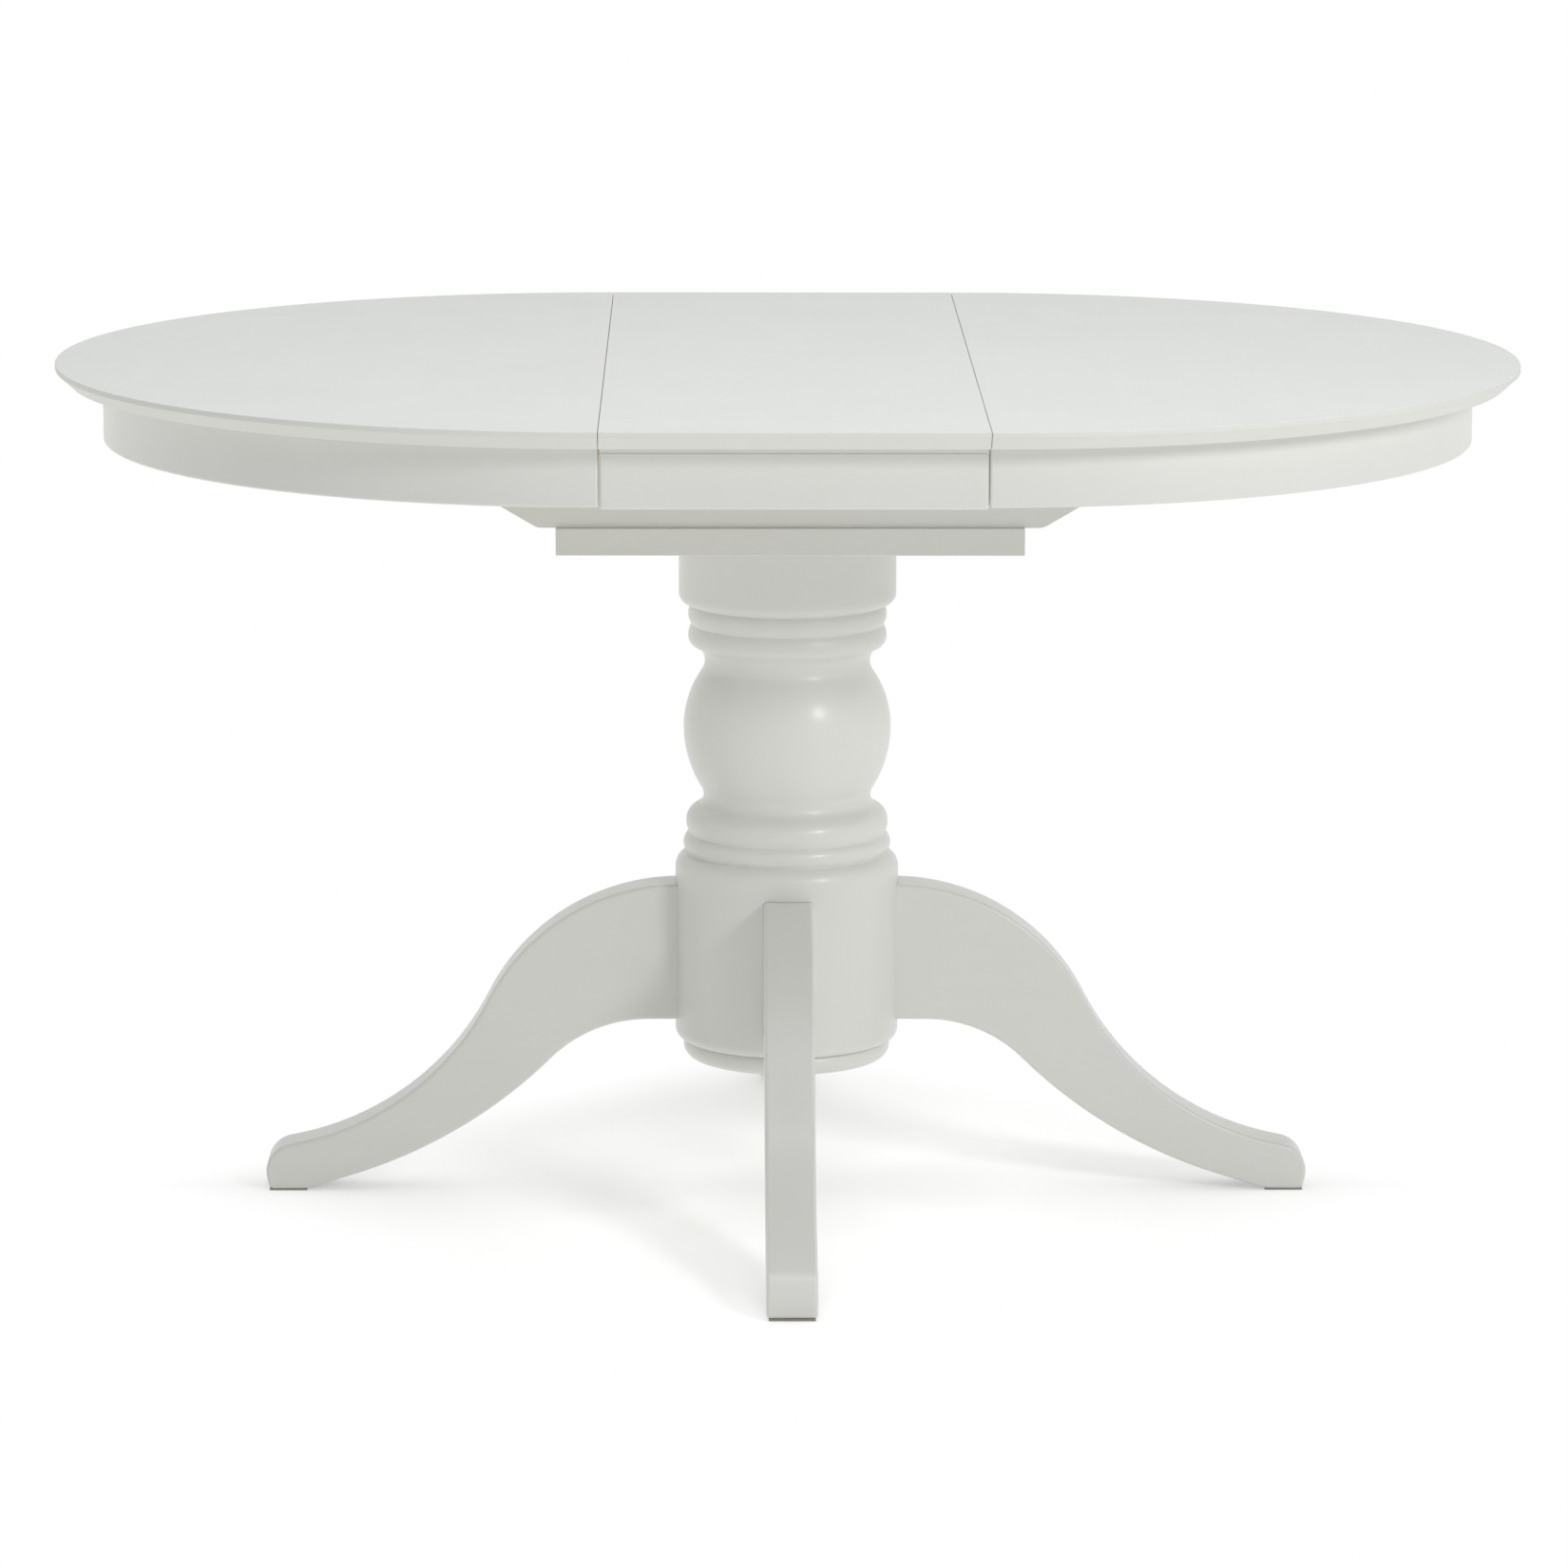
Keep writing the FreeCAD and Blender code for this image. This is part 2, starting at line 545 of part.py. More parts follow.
WASHER_FACE = "(BoreRadius - WasherThickness)"
LEG_BOLT_START = "(BoreRadius - WasherThickness - NutHeight - LegBoltTail)"


def leg_rod_room(angle):
    bolts = radial_rods(angle, "LegBoltRadius + HoleFit",
                        f"LegSeat + LegBoltGrip + HoleFit - {LEG_BOLT_START}", LEG_BOLT_START, "LegBoltInset")
    dowels = radial_rods(angle, "LegDowelRadius + HoleFit", "2*(LegDowelReach + HoleFit)",
                         "LegSeat - LegDowelReach - HoleFit", "LegDowelInset")
    return bolts + dowels


def plate_bolt_places():
    return [(f"PlateBoltSpread*{x}", f"PlateBoltSpread*{y}") for x in (-1, 1) for y in (-1, 1)]


def base_screw_places():
    ring = "BaseScrewRing"
    return [(f"{ring}*cos({angle} deg)", f"{ring}*sin({angle} deg)") for angle in BASE_SCREW_ANGLES]


def make_base_bead():
    body = new_body()
    spigot = "(BoreRadius - SpigotPlay)"
    quirk_drop = "(BlockBase - BaseUnderside - BaseRound)"
    corners = [
        ("0", "BlockBase + SpigotHeight"),
        (spigot, "BlockBase + SpigotHeight"),
        (spigot, "BlockBase"),
        ("BaseQuirkRadius", "BlockBase"),
        ("BaseRadius", "BaseUnderside + BaseRound", bulge(quirk_drop, "BaseRadius - BaseQuirkRadius"), -1),
        ("BaseRadius - BaseRound", "BaseUnderside", "BaseRound", -1),
        ("0", "BaseUnderside"),
    ]
    turned(body, corners)
    tools = [tool for x, y in base_screw_places() for tool in screw_room(x, y, "BaseUnderside")]
    piece("base_bead", cut(body, tools))
    piece("base_bead_screws", group([screw(x, y, "BaseUnderside") for x, y in base_screw_places()]))


# Legs, sawn from plank
def sweep(start, start_slope, end, end_slope, share):
    """Where the two arcs of an S-shaped sweep meet, and their radii; slopes are degrees below level."""
    first = Vector(math.cos(math.radians(start_slope)), -math.sin(math.radians(start_slope)), 0)
    last = Vector(math.cos(math.radians(end_slope)), -math.sin(math.radians(end_slope)), 0)
    way = end - start
    mean = first + last * share
    square = mean.dot(mean) - (1 + share) ** 2
    cross = way.dot(mean)
    run = (cross - math.sqrt(cross ** 2 - square * way.dot(way))) / square
    knee, ankle = start + first * run, end - last * (run * share)
    meet = (knee * share + ankle) * (1 / (1 + share))
    radii = []
    for place, along in ((start, first), (end, last)):
        chord = meet - place
        radii.append(chord.dot(chord) / (2 * abs(along.x * chord.y - along.y * chord.x)))
    return meet, radii


def turn_step(radius, heading, to_heading):
    """How far a right-hand arc carries while its heading turns."""
    a, b = math.radians(heading), math.radians(to_heading)
    return Vector(math.sin(a) - math.sin(b), math.cos(b) - math.cos(a), 0) * radius


def leg_corners():
    """Outline of a leg that points along +X, as values worked out from the sheet."""
    seat_top = Vector(number("LegSeat"), number("LegTop"), 0)
    toe_top = Vector(number("ToeTopReach"), number("ToeTopLevel"), 0)
    flat_end = Vector(number("LegSeat + LegFlat"), number("LegUnder"), 0)
    heel = Vector(number("HeelReach"), number("HeelLevel"), 0)
    floor = number("PadThickness")
    upper, (upper_root, upper_toe) = sweep(seat_top, 0, toe_top, TOE_TOP_SLOPE, UPPER_SWEEP_SHARE)
    lower, (lower_root, lower_toe) = sweep(flat_end, 0, heel, HEEL_SLOPE, LOWER_SWEEP_SHARE)

    toe_round, under_round, heel_round = number("ToeRound"), number("ToeHeelRound"), number("HeelRound")
    face = -90 - TOE_FACE_LEAN
    crown = turn_step(toe_round, -TOE_TOP_SLOPE, -90)
    crown_start_x = number("ToeReach") - crown.x
    toe_fall = math.tan(math.radians(TOE_TOP_SLOPE))
    crown_start = Vector(crown_start_x, toe_top.y - (crown_start_x - toe_top.x) * toe_fall, 0)
    crown_end = crown_start + turn_step(toe_round, -TOE_TOP_SLOPE, face)
    under_step = turn_step(under_round, face, -180)
    under_start_y = floor - under_step.y
    lean = math.tan(math.radians(TOE_FACE_LEAN))
    under_start = Vector(crown_end.x - (crown_end.y - under_start_y) * lean, under_start_y, 0)
    under_end = under_start + under_step
    heel_fall = math.tan(math.radians(HEEL_SLOPE))
    heel_tangent = heel_round * math.tan(math.radians(HEEL_SLOPE / 2))
    heel_foot = heel.x + (heel.y - floor) / heel_fall
    foot_start = Vector(heel_foot + heel_tangent, floor, 0)
    slope = math.radians(HEEL_SLOPE)
    heel_start = Vector(heel_foot - heel_tangent * math.cos(slope), floor + heel_tangent * math.sin(slope), 0)

    def line(place):
        return str(place.x), str(place.y)

    def arc(place, radius, turn):
        return str(place.x), str(place.y), str(radius), turn

    return [
        ("LegSeat", "LegTop"),
        arc(upper, upper_root, -1),
        ("ToeTopReach", "ToeTopLevel", str(upper_toe), 1),
        line(crown_start),
        arc(crown_end, toe_round, -1),
        line(under_start),
        arc(under_end, under_round, -1),
        line(foot_start),
        arc(heel_start, heel_round, -1),
        ("HeelReach", "HeelLevel"),
        arc(lower, lower_toe, -1),
        ("LegSeat + LegFlat", "LegUnder", str(lower_root), 1),
        ("LegSeat", "LegUnder"),
    ]


def make_legs():
    corners = leg_corners()
    for label, angle in LEG_ANGLES.items():
        body = new_body()
        plank = pad(body, "XZ_Plane", corners, "LegThickness", symmetric=True)
        long_edges = lambda edge: (all(near(abs(v.Point.y), "LegThickness/2") for v in edge.Vertexes)
                                   and not all(near(v.Point.x, "LegSeat") for v in edge.Vertexes)
                                   and near(abs(edge.CenterOfMass.y), "LegThickness/2"))
        rounded(body, plank, long_edges, "LegRound")
        body.Placement = Placement(Vector(), Rotation(UP, angle))
        piece(label, cut(body, leg_rod_room(angle)))


def make_leg_fittings():
    bolts, dowels, washers, nuts, pads = [], [], [], [], []
    for angle in LEG_ANGLES.values():
        x, y = around(angle)
        way = Vector(x, y, 0)
        turn = Rotation(UP, angle)
        bolts += radial_rods(angle, "LegBoltRadius", f"LegSeat + LegBoltGrip - {LEG_BOLT_START}",
                             LEG_BOLT_START, "LegBoltInset")
        dowels += radial_rods(angle, "LegDowelRadius", "2*LegDowelReach",
                              "LegSeat - LegDowelReach", "LegDowelInset")
        for level in leg_levels("LegBoltInset"):
            start = WASHER_FACE + " - NutHeight"
            nut = doc.addObject("Part::Prism", "Nut")
            nut.Polygon = NUT_SIDES
            nut.Placement = Placement(Vector(), Rotation(UP, way))
            bind(nut, Circumradius="NutRadius", Height="NutHeight")
            put(nut, f"({start})*{x}", f"({start})*{y}", level)
            room = rod("LegBoltRadius + HoleFit", "NutHeight + 2*Overrun", f"({start} - Overrun)*{x}",
                       f"({start} - Overrun)*{y}", level, way)
            nuts.append(cut(nut, [room]))
            slab = doc.addObject("Part::Box", "Slab")
            slab.Placement = Placement(Vector(), turn)
            bind(slab, Length="WasherThickness + Overrun", Width="WasherSide", Height="WasherSide")
            put(slab, f"{WASHER_FACE}*{x} + WasherSide/2*{y}", f"{WASHER_FACE}*{y} - WasherSide/2*{x}",
                f"{level} - WasherSide/2")
            curved = doc.addObject("Part::Common", "Curved")
            curved.Base = slab
            curved.Tool = rod("BoreRadius - WasherPlay", "BoreTop", "0", "0", "0")
            room = rod("LegBoltRadius + HoleFit", "WasherThickness + 2*Overrun",
                       f"({WASHER_FACE} - Overrun)*{x}", f"({WASHER_FACE} - Overrun)*{y}", level, way)
            washers.append(cut(curved, [room]))
        foot = doc.addObject("Part::Box", "Pad")
        foot.Placement = Placement(Vector(), turn)
        bind(foot, Length="PadLength", Width="PadWidth", Height="PadThickness")
        near_end = "(PadReach - PadLength/2)"
        put(foot, f"{near_end}*{x} + PadWidth/2*{y}", f"{near_end}*{y} - PadWidth/2*{x}", "0")
        pads.append(foot)
    piece("leg_bolts", group(bolts))
    piece("leg_dowels", group(dowels))
    piece("leg_washers", group(washers))
    piece("leg_nuts", group(nuts))
    piece("foot_pads", group(pads))


# Fixed frame on the column
def frame_screw_places():
    line = "(BearerFace - BearerThickness/2)"
    bearers = [(f"FrameScrewSpread*{x}", f"{line}*{y}") for x in (-1, 0, 1) for y in (-1, 1)]
    rails = [(f"RailSpread*{x}", f"RailScrewSpread*{y}") for x in (-1, 1) for y in (-1, 1)]
    return bearers, rails


FRAME_SCREW_START = PLATE_UNDER + " + FrameScrewSink"


def frame_screw_room(places):
    tools = []
    for x, y in places:
        tools += screw_room(x, y, FRAME_SCREW_START, length="FrameScrewLength")
    return tools


def make_plate():
    bearers, rails = frame_screw_places()
    body = new_body()
    half = "PlateSide/2"
    corners = [(f"-{half}", f"-{half}"), (half, f"-{half}"), (half, half), (f"-{half}", half)]
    board = pad(body, "XY_Plane", corners, "PlateThickness")
    rounded(body, board, lambda edge: True, "PlateRound")
    put(body, "0", "0", PLATE_UNDER)
    tools = frame_screw_room(bearers + rails)
    for x, y in plate_bolt_places():
        tools.append(rod("PlateBoltRadius + HoleFit", "PlateThickness + 2*Overrun",
                         x, y, PLATE_UNDER + " - Overrun"))
    piece("mounting_plate", cut(body, tools))

    bolts, sleeves = [], []
    for x, y in plate_bolt_places():
        bolt = doc.addObject("Part::Fuse", "Bolt")
        bolt.Base = rod("PlateBoltHeadRadius", "PlateBoltHeadHeight", x, y, "PlateTop")
        bolt.Tool = rod("PlateBoltRadius", "PlateBoltHeadHeight + PlateThickness + SleeveLength",
                        x, y, PLATE_UNDER + " - SleeveLength")
        hollow = socket("PlateBoltSocketRadius", "PlateBoltSocketDepth",
                        x, y, "PlateTop + PlateBoltHeadHeight", DOWN)
        bolts.append(cut(bolt, [hollow]))
        sleeve = rod("SleeveRadius", "SleeveLength", x, y, PLATE_UNDER + " - SleeveLength")
        room = rod("PlateBoltRadius + HoleFit", "SleeveLength + 2*Overrun",
                   x, y, PLATE_UNDER + " - SleeveLength - Overrun")
        sleeves.append(cut(sleeve, [room]))
    piece("plate_bolts", group(bolts))
    piece("plate_sleeves", group(sleeves))
    screws = [screw(x, y, FRAME_SCREW_START, length="FrameScrewLength") for x, y in bearers + rails]
    piece("frame_screws", group(screws))


KEY_LENGTH = "(KeyOuter - KeyInner)"
KEY_CENTRE = "((KeyOuter + KeyInner)/2)"


def key_room(y):
    """Grooves of the two tongues in a bearer: the left half runs outside it, the right half inside."""
    size = [f"{KEY_LENGTH} + 2*HoleFit", "KeyReach + HoleFit + Overrun", "KeyHeight + 2*HoleFit"]
    past = "(Overrun - KeyReach - HoleFit)/2"
    level = f"{KEY_MIDDLE} - KeyHeight/2 - HoleFit"
    outer = box(*size, f"-{KEY_CENTRE}", f"(BearerFace + {past})*{y}", level)
    inner = box(*size, KEY_CENTRE, f"({BEARER_BACK} - {past})*{y}", level)
    return [outer, inner]


def make_bearers():
    bearers, rails = frame_screw_places()
    half = "BearerLength/2"
    top = f"({UNDER_TOP} - BearerClear)"
    corners = [
        (f"-{half}", top),
        (f"-{half}", "PlateTop + BearerCutRise"),
        (f"-{half} + BearerCutRun", "PlateTop"),
        (f"{half} - BearerCutRun", "PlateTop"),
        (half, "PlateTop + BearerCutRise"),
        (half, top),
    ]
    for label, y in (("bearer_front", -1), ("bearer_back", 1)):
        body = new_body()
        board = pad(body, "XZ_Plane", corners, "BearerThickness", symmetric=True)
        knee = lambda edge: (near(edge.CenterOfMass.z, "PlateTop")
                             and near(abs(edge.CenterOfMass.x), "BearerLength/2 - BearerCutRun"))
        rounded(body, board, knee, "BearerRound")
        put(body, "0", f"(BearerFace - BearerThickness/2)*{y}", "0")
        tools = key_room(y) + frame_screw_room([place for place in bearers if f")*{y}" in place[1]])
        piece(label, cut(body, tools))

    for place, y in (("front", -1), ("back", 1)):
        level = f"{KEY_MIDDLE} - KeyHeight/2"
        size = KEY_LENGTH, "2*KeyReach", "KeyHeight"
        piece(f"key_{place}_outer", box(*size, f"-{KEY_CENTRE}", f"BearerFace*{y}", level))
        piece(f"key_{place}_inner", box(*size, KEY_CENTRE, f"{BEARER_BACK}*{y}", level))


def make_rails():
    bearers, rails = frame_screw_places()
    height = f"{BOARD_TOP} - BoardThickness - PlateTop"
    for label, x in (("cross_rail_left", -1), ("cross_rail_right", 1)):
        rail = box("RailThickness", f"2*{BEARER_BACK}", height, f"RailSpread*{x}", "0", "PlateTop")
        tools = frame_screw_room([place for place in rails if place[0].endswith(f"*{x}")])
        tools += board_screw_room([place for place in board_screw_places() if place[0].endswith(f"*{x}")])
        piece(label, cut(rail, tools))


def board_screw_places():
    return [(f"RailSpread*{x}", f"BoardScrewSpread*{y}") for x in (-1, 1) for y in (-1, 1)]


BOARD_SCREW_START = BOARD_TOP + " - HoleFit"


def board_screw_room(places):
    return [tool for x, y in places for tool in screw_room(x, y, BOARD_SCREW_START, DOWN)]


def make_gear_frame():
    board = box("2*(RailSpread + BoardOverhang)", "BoardWidth", "BoardThickness",
                "0", "0", BOARD_TOP + " - BoardThickness")
    tools = board_screw_room(board_screw_places())
    tools.append(rod("AxleRadius + HoleFit", "BoardThickness + 2*Overrun",
                     "0", "0", BOARD_TOP + " - BoardThickness - Overrun"))
    piece("gear_board", cut(board, tools))
    piece("gear_board_screws", group([screw(x, y, BOARD_SCREW_START, DOWN) for x, y in board_screw_places()]))

    axle = doc.addObject("Part::Fuse", "Axle")
    axle.Base = rod("AxleRadius", f"{RACK_TOP} + HubPlay + AxleHeadHeight - {BOARD_TOP} + BoardThickness",
                    "0", "0", BOARD_TOP + " - BoardThickness")
    axle.Tool = rod("AxleHeadRadius", "AxleHeadHeight", "0", "0", RACK_TOP + " + HubPlay")
    piece("pinion_axle", axle)

    guides = []
    for y in (-1, 1):
        guides.append(box("GuideLength", "GuideWidth", f"{RACK_TOP} - {BOARD_TOP}",
                          "0", f"({RACK_OUTER} + GuidePlay + GuideWidth/2)*{y}", BOARD_TOP))
    piece("rack_guides", group(guides))


# Pinion and racks
def tooth_half_angle(radius, teeth, module):
    """Half the angle that an involute tooth covers at a radius."""
    base = module * teeth / 2 * math.cos(math.radians(PRESSURE_ANGLE))
    slope = math.acos(min(base / radius, 1))
    mesh = math.radians(PRESSURE_ANGLE)
    return math.pi / (2 * teeth) + (math.tan(mesh) - mesh) - (math.tan(slope) - slope)


def make_pinion():
    teeth, module = int(number("PinionTeeth")), number("GearModule")
    pitch_radius = number(PITCH_RADIUS)
    root, tip = pitch_radius - TOOTH_ROOT_SHARE * module, pitch_radius + module
    base = max(pitch_radius * math.cos(math.radians(PRESSURE_ANGLE)), root)
    middle = (base + tip) / 2

    def place(radius, angle):
        return Vector(radius * math.cos(angle), radius * math.sin(angle), 0)

    edges = []
    step = 2 * math.pi / teeth
    for index in range(teeth):
        axis = -math.pi / 2 + (index + 0.5) * step
        half_base, half_middle, half_tip = [tooth_half_angle(r, teeth, module) for r in (base, middle, tip)]
        edges += [
            Part.LineSegment(place(root, axis - half_base), place(base, axis - half_base)),
            Part.Arc(place(base, axis - half_base), place(middle, axis - half_middle),
                     place(tip, axis - half_tip)),
            Part.Arc(place(tip, axis - half_tip), place(tip, axis), place(tip, axis + half_tip)),
            Part.Arc(place(tip, axis + half_tip), place(middle, axis + half_middle),
                     place(base, axis + half_base)),
            Part.LineSegment(place(base, axis + half_base), place(root, axis + half_base)),
            Part.Arc(place(root, axis + half_base), place(root, axis + step / 2),
                     place(root, axis + step - half_base)),
        ]
    wire = Part.Wire([edge.toShape() for edge in edges if edge.length() > SAME])
    wheel = Part.Face(wire).extrude(UP * number("GearThickness"))
    hub_height = number("PinionLift - HubPlay")
    hub = Part.makeCylinder(number("HubRadius"), hub_height, DOWN * hub_height)
    bore_length = number("GearThickness + PinionLift + 2*Overrun")
    bore_start = DOWN * number("PinionLift + Overrun")
    bore = Part.makeCylinder(number("AxleRadius + AxlePlay"), bore_length, bore_start)
    item = doc.addObject("Part::Feature", "Pinion")
    item.Shape = wheel.fuse(hub).cut(bore)
    put(item, "0", "0", RACK_UNDER)
    piece("pinion", item)


def make_rack(name, side):
    """Toothed bar of one half: the left one in front of the pinion, the right one behind it.

    Drawn with the cut edge of the half at x = 0 and inward as +X; the right one is turned half round.
    """
    pitch = "(pi*GearModule)"
    tangent = math.tan(math.radians(PRESSURE_ANGLE))
    half_tooth = f"({pitch}/4 - Backlash/2)"
    wide = f"({half_tooth} + {TOOTH_ROOT_SHARE}*GearModule*{tangent})"
    narrow = f"({half_tooth} - GearModule*{tangent})"
    tail = "(BattenReach + BattenWidth/2)"
    nose = f"({HALF_EDGE} + OverDraw + 2*{pitch})"
    tip = f"({PITCH_RADIUS} - GearModule)"

    body = new_body()
    bar = [
        ("-" + tail, "-" + RACK_OUTER),
        (nose, "-" + RACK_OUTER),
        (nose, "-" + RACK_ROOT),
        ("-" + tail, "-" + RACK_ROOT),
    ]
    pad(body, "XY_Plane", bar, "GearThickness")
    past_axis = math.floor(number(f"(OverDraw + {pitch})/{pitch}"))
    before_axis = math.floor(number(f"({HALF_EDGE} + {pitch})/{pitch}"))
    phase = f"mod(PinionTeeth; 2)*{pitch}/2" if side > 0 else "0"
    first = f"({HALF_EDGE} - {phase} + {past_axis}*{pitch})"
    tooth = [
        (f"{first} - {wide}", f"-{RACK_ROOT} - Backlash"),
        (f"{first} + {wide}", f"-{RACK_ROOT} - Backlash"),
        (f"{first} + {wide}", f"-{RACK_ROOT}"),
        (f"{first} + {narrow}", f"-{tip}"),
        (f"{first} - {narrow}", f"-{tip}"),
        (f"{first} - {wide}", f"-{RACK_ROOT}"),
    ]
    one = pad(body, "XY_Plane", tooth, "GearThickness")
    row = body.newObject("PartDesign::LinearPattern", "Teeth")
    row.Originals = [one]
    row.Direction = (one.Profile[0], ["H_Axis"])
    row.Reversed = True
    row.Mode = "Spacing"
    bind(row, Offset=pitch)
    row.Occurrences = past_axis + 1 + before_axis
    body.Tip = row
    body.Placement = Placement(Vector(), Rotation(UP, 180 if side > 0 else 0))
    put(body, f"{HALF_EDGE}*{side}", "0", RACK_UNDER)
    tools = []
    for x, y in rack_screw_places(side):
        tools += screw_room(x, y, SCREW_START, sink=RACK_SINK)
    piece(f"{name}_rack", cut(body, tools))


# Half tops; side is -1 for the left one, +1 for the right one
PEG_LEVEL = "(TableHeight - TopThickness/2)"
RACK_SINK = "(BattenHeight + GearThickness - ScrewLength + ScrewBite + Overrun)"
RUNNER_SINK = "(RunnerHeight - ScrewLength + ScrewBite + Overrun)"


def runner_line(side):
    """Middle of a runner, front to back: outside the bearers for the left half, inside for the right."""
    if side < 0:
        return "(BearerFace + RunnerPlay + RunnerThickness/2)"
    return f"({BEARER_BACK} - RunnerPlay - RunnerThickness/2)"


def runner_screw_places(side, y):
    line = f"{runner_line(side)}*{y}"
    first = f"{HALF_EDGE} + RunnerScrewStart"
    return [(f"({first} + {index}*RunnerScrewPitch)*{side}", line) for index in range(RUNNER_SCREWS)]


def rack_screw_places(side):
    line = f"({RACK_OUTER} - RackBack/2)*{side}"
    return [(f"({HALF_EDGE} + BattenReach + BattenWidth/4*{step})*{side}", line) for step in (-1, 1)]


def peg_lines(side):
    return [f"PegFar*{side}", f"-PegNear*{side}"]


def make_half(name, side):
    make_half_top(name, side)
    make_half_apron(name, side)
    for place, y in (("front", -1), ("back", 1)):
        make_runner(f"{name}_runner_{place}", side, y)
    make_rack(name, side)

    span = f"2*({runner_line(side)} - RunnerThickness/2 - BattenPlay)"
    batten = box("BattenWidth", span, "BattenHeight", f"({HALF_EDGE} + BattenReach)*{side}", "0", RACK_TOP)
    room = [tool for x, y in rack_screw_places(side) for tool in screw_room(x, y, SCREW_START)]
    piece(f"{name}_batten", cut(batten, room))
    places = runner_screw_places(side, -1) + runner_screw_places(side, 1) + rack_screw_places(side)
    piece(f"{name}_screws", group([screw(x, y, SCREW_START) for x, y in places]))
    pegs = [rod("PegRadius", "2*PegReach", f"({HALF_EDGE} - PegReach)*{side}", line, PEG_LEVEL, X_WAY * side)
            for line in peg_lines(side)]
    piece(f"{name}_pegs", group(pegs))


def make_half_top(name, side):
    body = new_body()
    corners = [
        ("0", UNDER_TOP),
        ("TopRadius - BevelInset", UNDER_TOP),
        ("TopRadius", "TableHeight - NoseHeight"),
        ("TopRadius", "TableHeight - NoseRound"),
        ("TopRadius - NoseRound", "TableHeight", "NoseRound", 1),
        ("0", "TableHeight"),
    ]
    board = turned(body, corners, angle=180)
    cut_edge = lambda edge: near(edge.CenterOfMass.x, "0") and near(edge.CenterOfMass.z, "TableHeight")
    rounded(body, board, cut_edge, "JointEase")
    body.Placement = Placement(Vector(), Rotation(UP, 180 if side < 0 else 0))
    put(body, f"{HALF_EDGE}*{side}", "0", "0")
    tools = []
    places = runner_screw_places(side, -1) + runner_screw_places(side, 1) + rack_screw_places(side)
    for x, y in places:
        tools += screw_room(x, y, SCREW_START)
    start = f"({HALF_EDGE} - Overrun)*{side}"
    for lines, fit in ((peg_lines(side), "HoleFit"), (peg_lines(-side), "PegPlay")):
        for line in lines:
            tools.append(rod(f"PegRadius + {fit}", f"PegReach + {fit} + Overrun",
                             start, line, PEG_LEVEL, X_WAY * side))
    piece(f"{name}_top", cut(body, tools))


def make_half_apron(name, side):
    body = new_body()
    corners = [
        ("0", "-" + APRON_FACE),
        (APRON_FACE, "0", APRON_FACE, 1),
        ("0", APRON_FACE, APRON_FACE, 1),
        ("0", "ApronBack"),
        ("ApronBack", "0", "ApronBack", -1),
        ("0", "-ApronBack", "ApronBack", -1),
    ]
    ring = pad(body, "XY_Plane", corners, "ApronHeight")
    shown_edges = lambda edge: (near(edge.CenterOfMass.z, "0")
                                or near(abs(edge.CenterOfMass.y), APRON_FACE))
    rounded(body, ring, shown_edges, "ApronRound")
    body.Placement = Placement(Vector(), Rotation(UP, 180 if side < 0 else 0))
    put(body, f"{HALF_EDGE}*{side}", "0", f"{UNDER_TOP} - ApronHeight")
    piece(f"{name}_apron", body)

    blocks = []
    start = "(sqrt((ApronBack - BlockPlay)^2 - (BlockLength/2)^2) - BlockSection)"
    beside_runner = math.degrees(math.asin(number("(RunnerFar + BlockLength)/ApronBack")))
    for angle in (-BLOCK_END_ANGLE, -beside_runner, 0, beside_runner, BLOCK_END_ANGLE):
        turn = angle if side > 0 else angle + 180
        block = doc.addObject("Part::Box", "GlueBlock")
        block.Placement = Placement(Vector(), Rotation(UP, turn))
        bind(block, Length="BlockSection", Width="BlockLength", Height="BlockSection")
        put(block, f"{HALF_EDGE}*{side} + {start}*cos({turn} deg) + BlockLength/2*sin({turn} deg)",
            f"{start}*sin({turn} deg) - BlockLength/2*cos({turn} deg)", f"{UNDER_TOP} - BlockSection")
        blocks.append(block)
    piece(f"{name}_blocks", group(blocks))


def make_runner(label, side, y):
    length = f"(RunnerTail + {RUNNER_NOSE})"
    centre = f"({HALF_EDGE} + (RunnerTail - {RUNNER_NOSE})/2)*{side}"
    bar = box(length, "RunnerThickness", "RunnerHeight",
              centre, f"{runner_line(side)}*{y}", f"{UNDER_TOP} - RunnerHeight")
    reach = f"({HALF_EDGE} - KeyInner + OverDraw + KeyPlay)"
    width = "(KeyReach + KeyPlay - RunnerPlay + Overrun)"
    inset = "(KeyReach + KeyPlay + RunnerPlay - Overrun)/2"
    line = f"(BearerFace + {inset})*{y}" if side < 0 else f"({BEARER_BACK} - {inset})*{y}"
    groove = box(f"RunnerTail + Overrun + {reach}", width, "KeyHeight + 2*KeyPlay",
                 f"({HALF_EDGE} + (RunnerTail + Overrun - {reach})/2)*{side}", line,
                 f"{KEY_MIDDLE} - KeyHeight/2 - KeyPlay")
    tools = [groove]
    for x, y_line in runner_screw_places(side, y):
        tools += screw_room(x, y_line, SCREW_START, sink=RUNNER_SINK)
    piece(label, cut(bar, tools))


# Leaf
def leaf_screw_places(y):
    line = f"(ApronBack - CleatThickness/2)*{y}"
    return [(f"LeafScrewSpread*{step}", line, SCREW_START) for step in (-1, 0, 1)]


def apron_screw_places(y):
    line = f"(ApronBack - CleatThickness)*{y}"
    return [(f"ApronScrewSpread*{step}", line, f"{UNDER_TOP} - CleatHeight/2") for step in (-1, 1)]


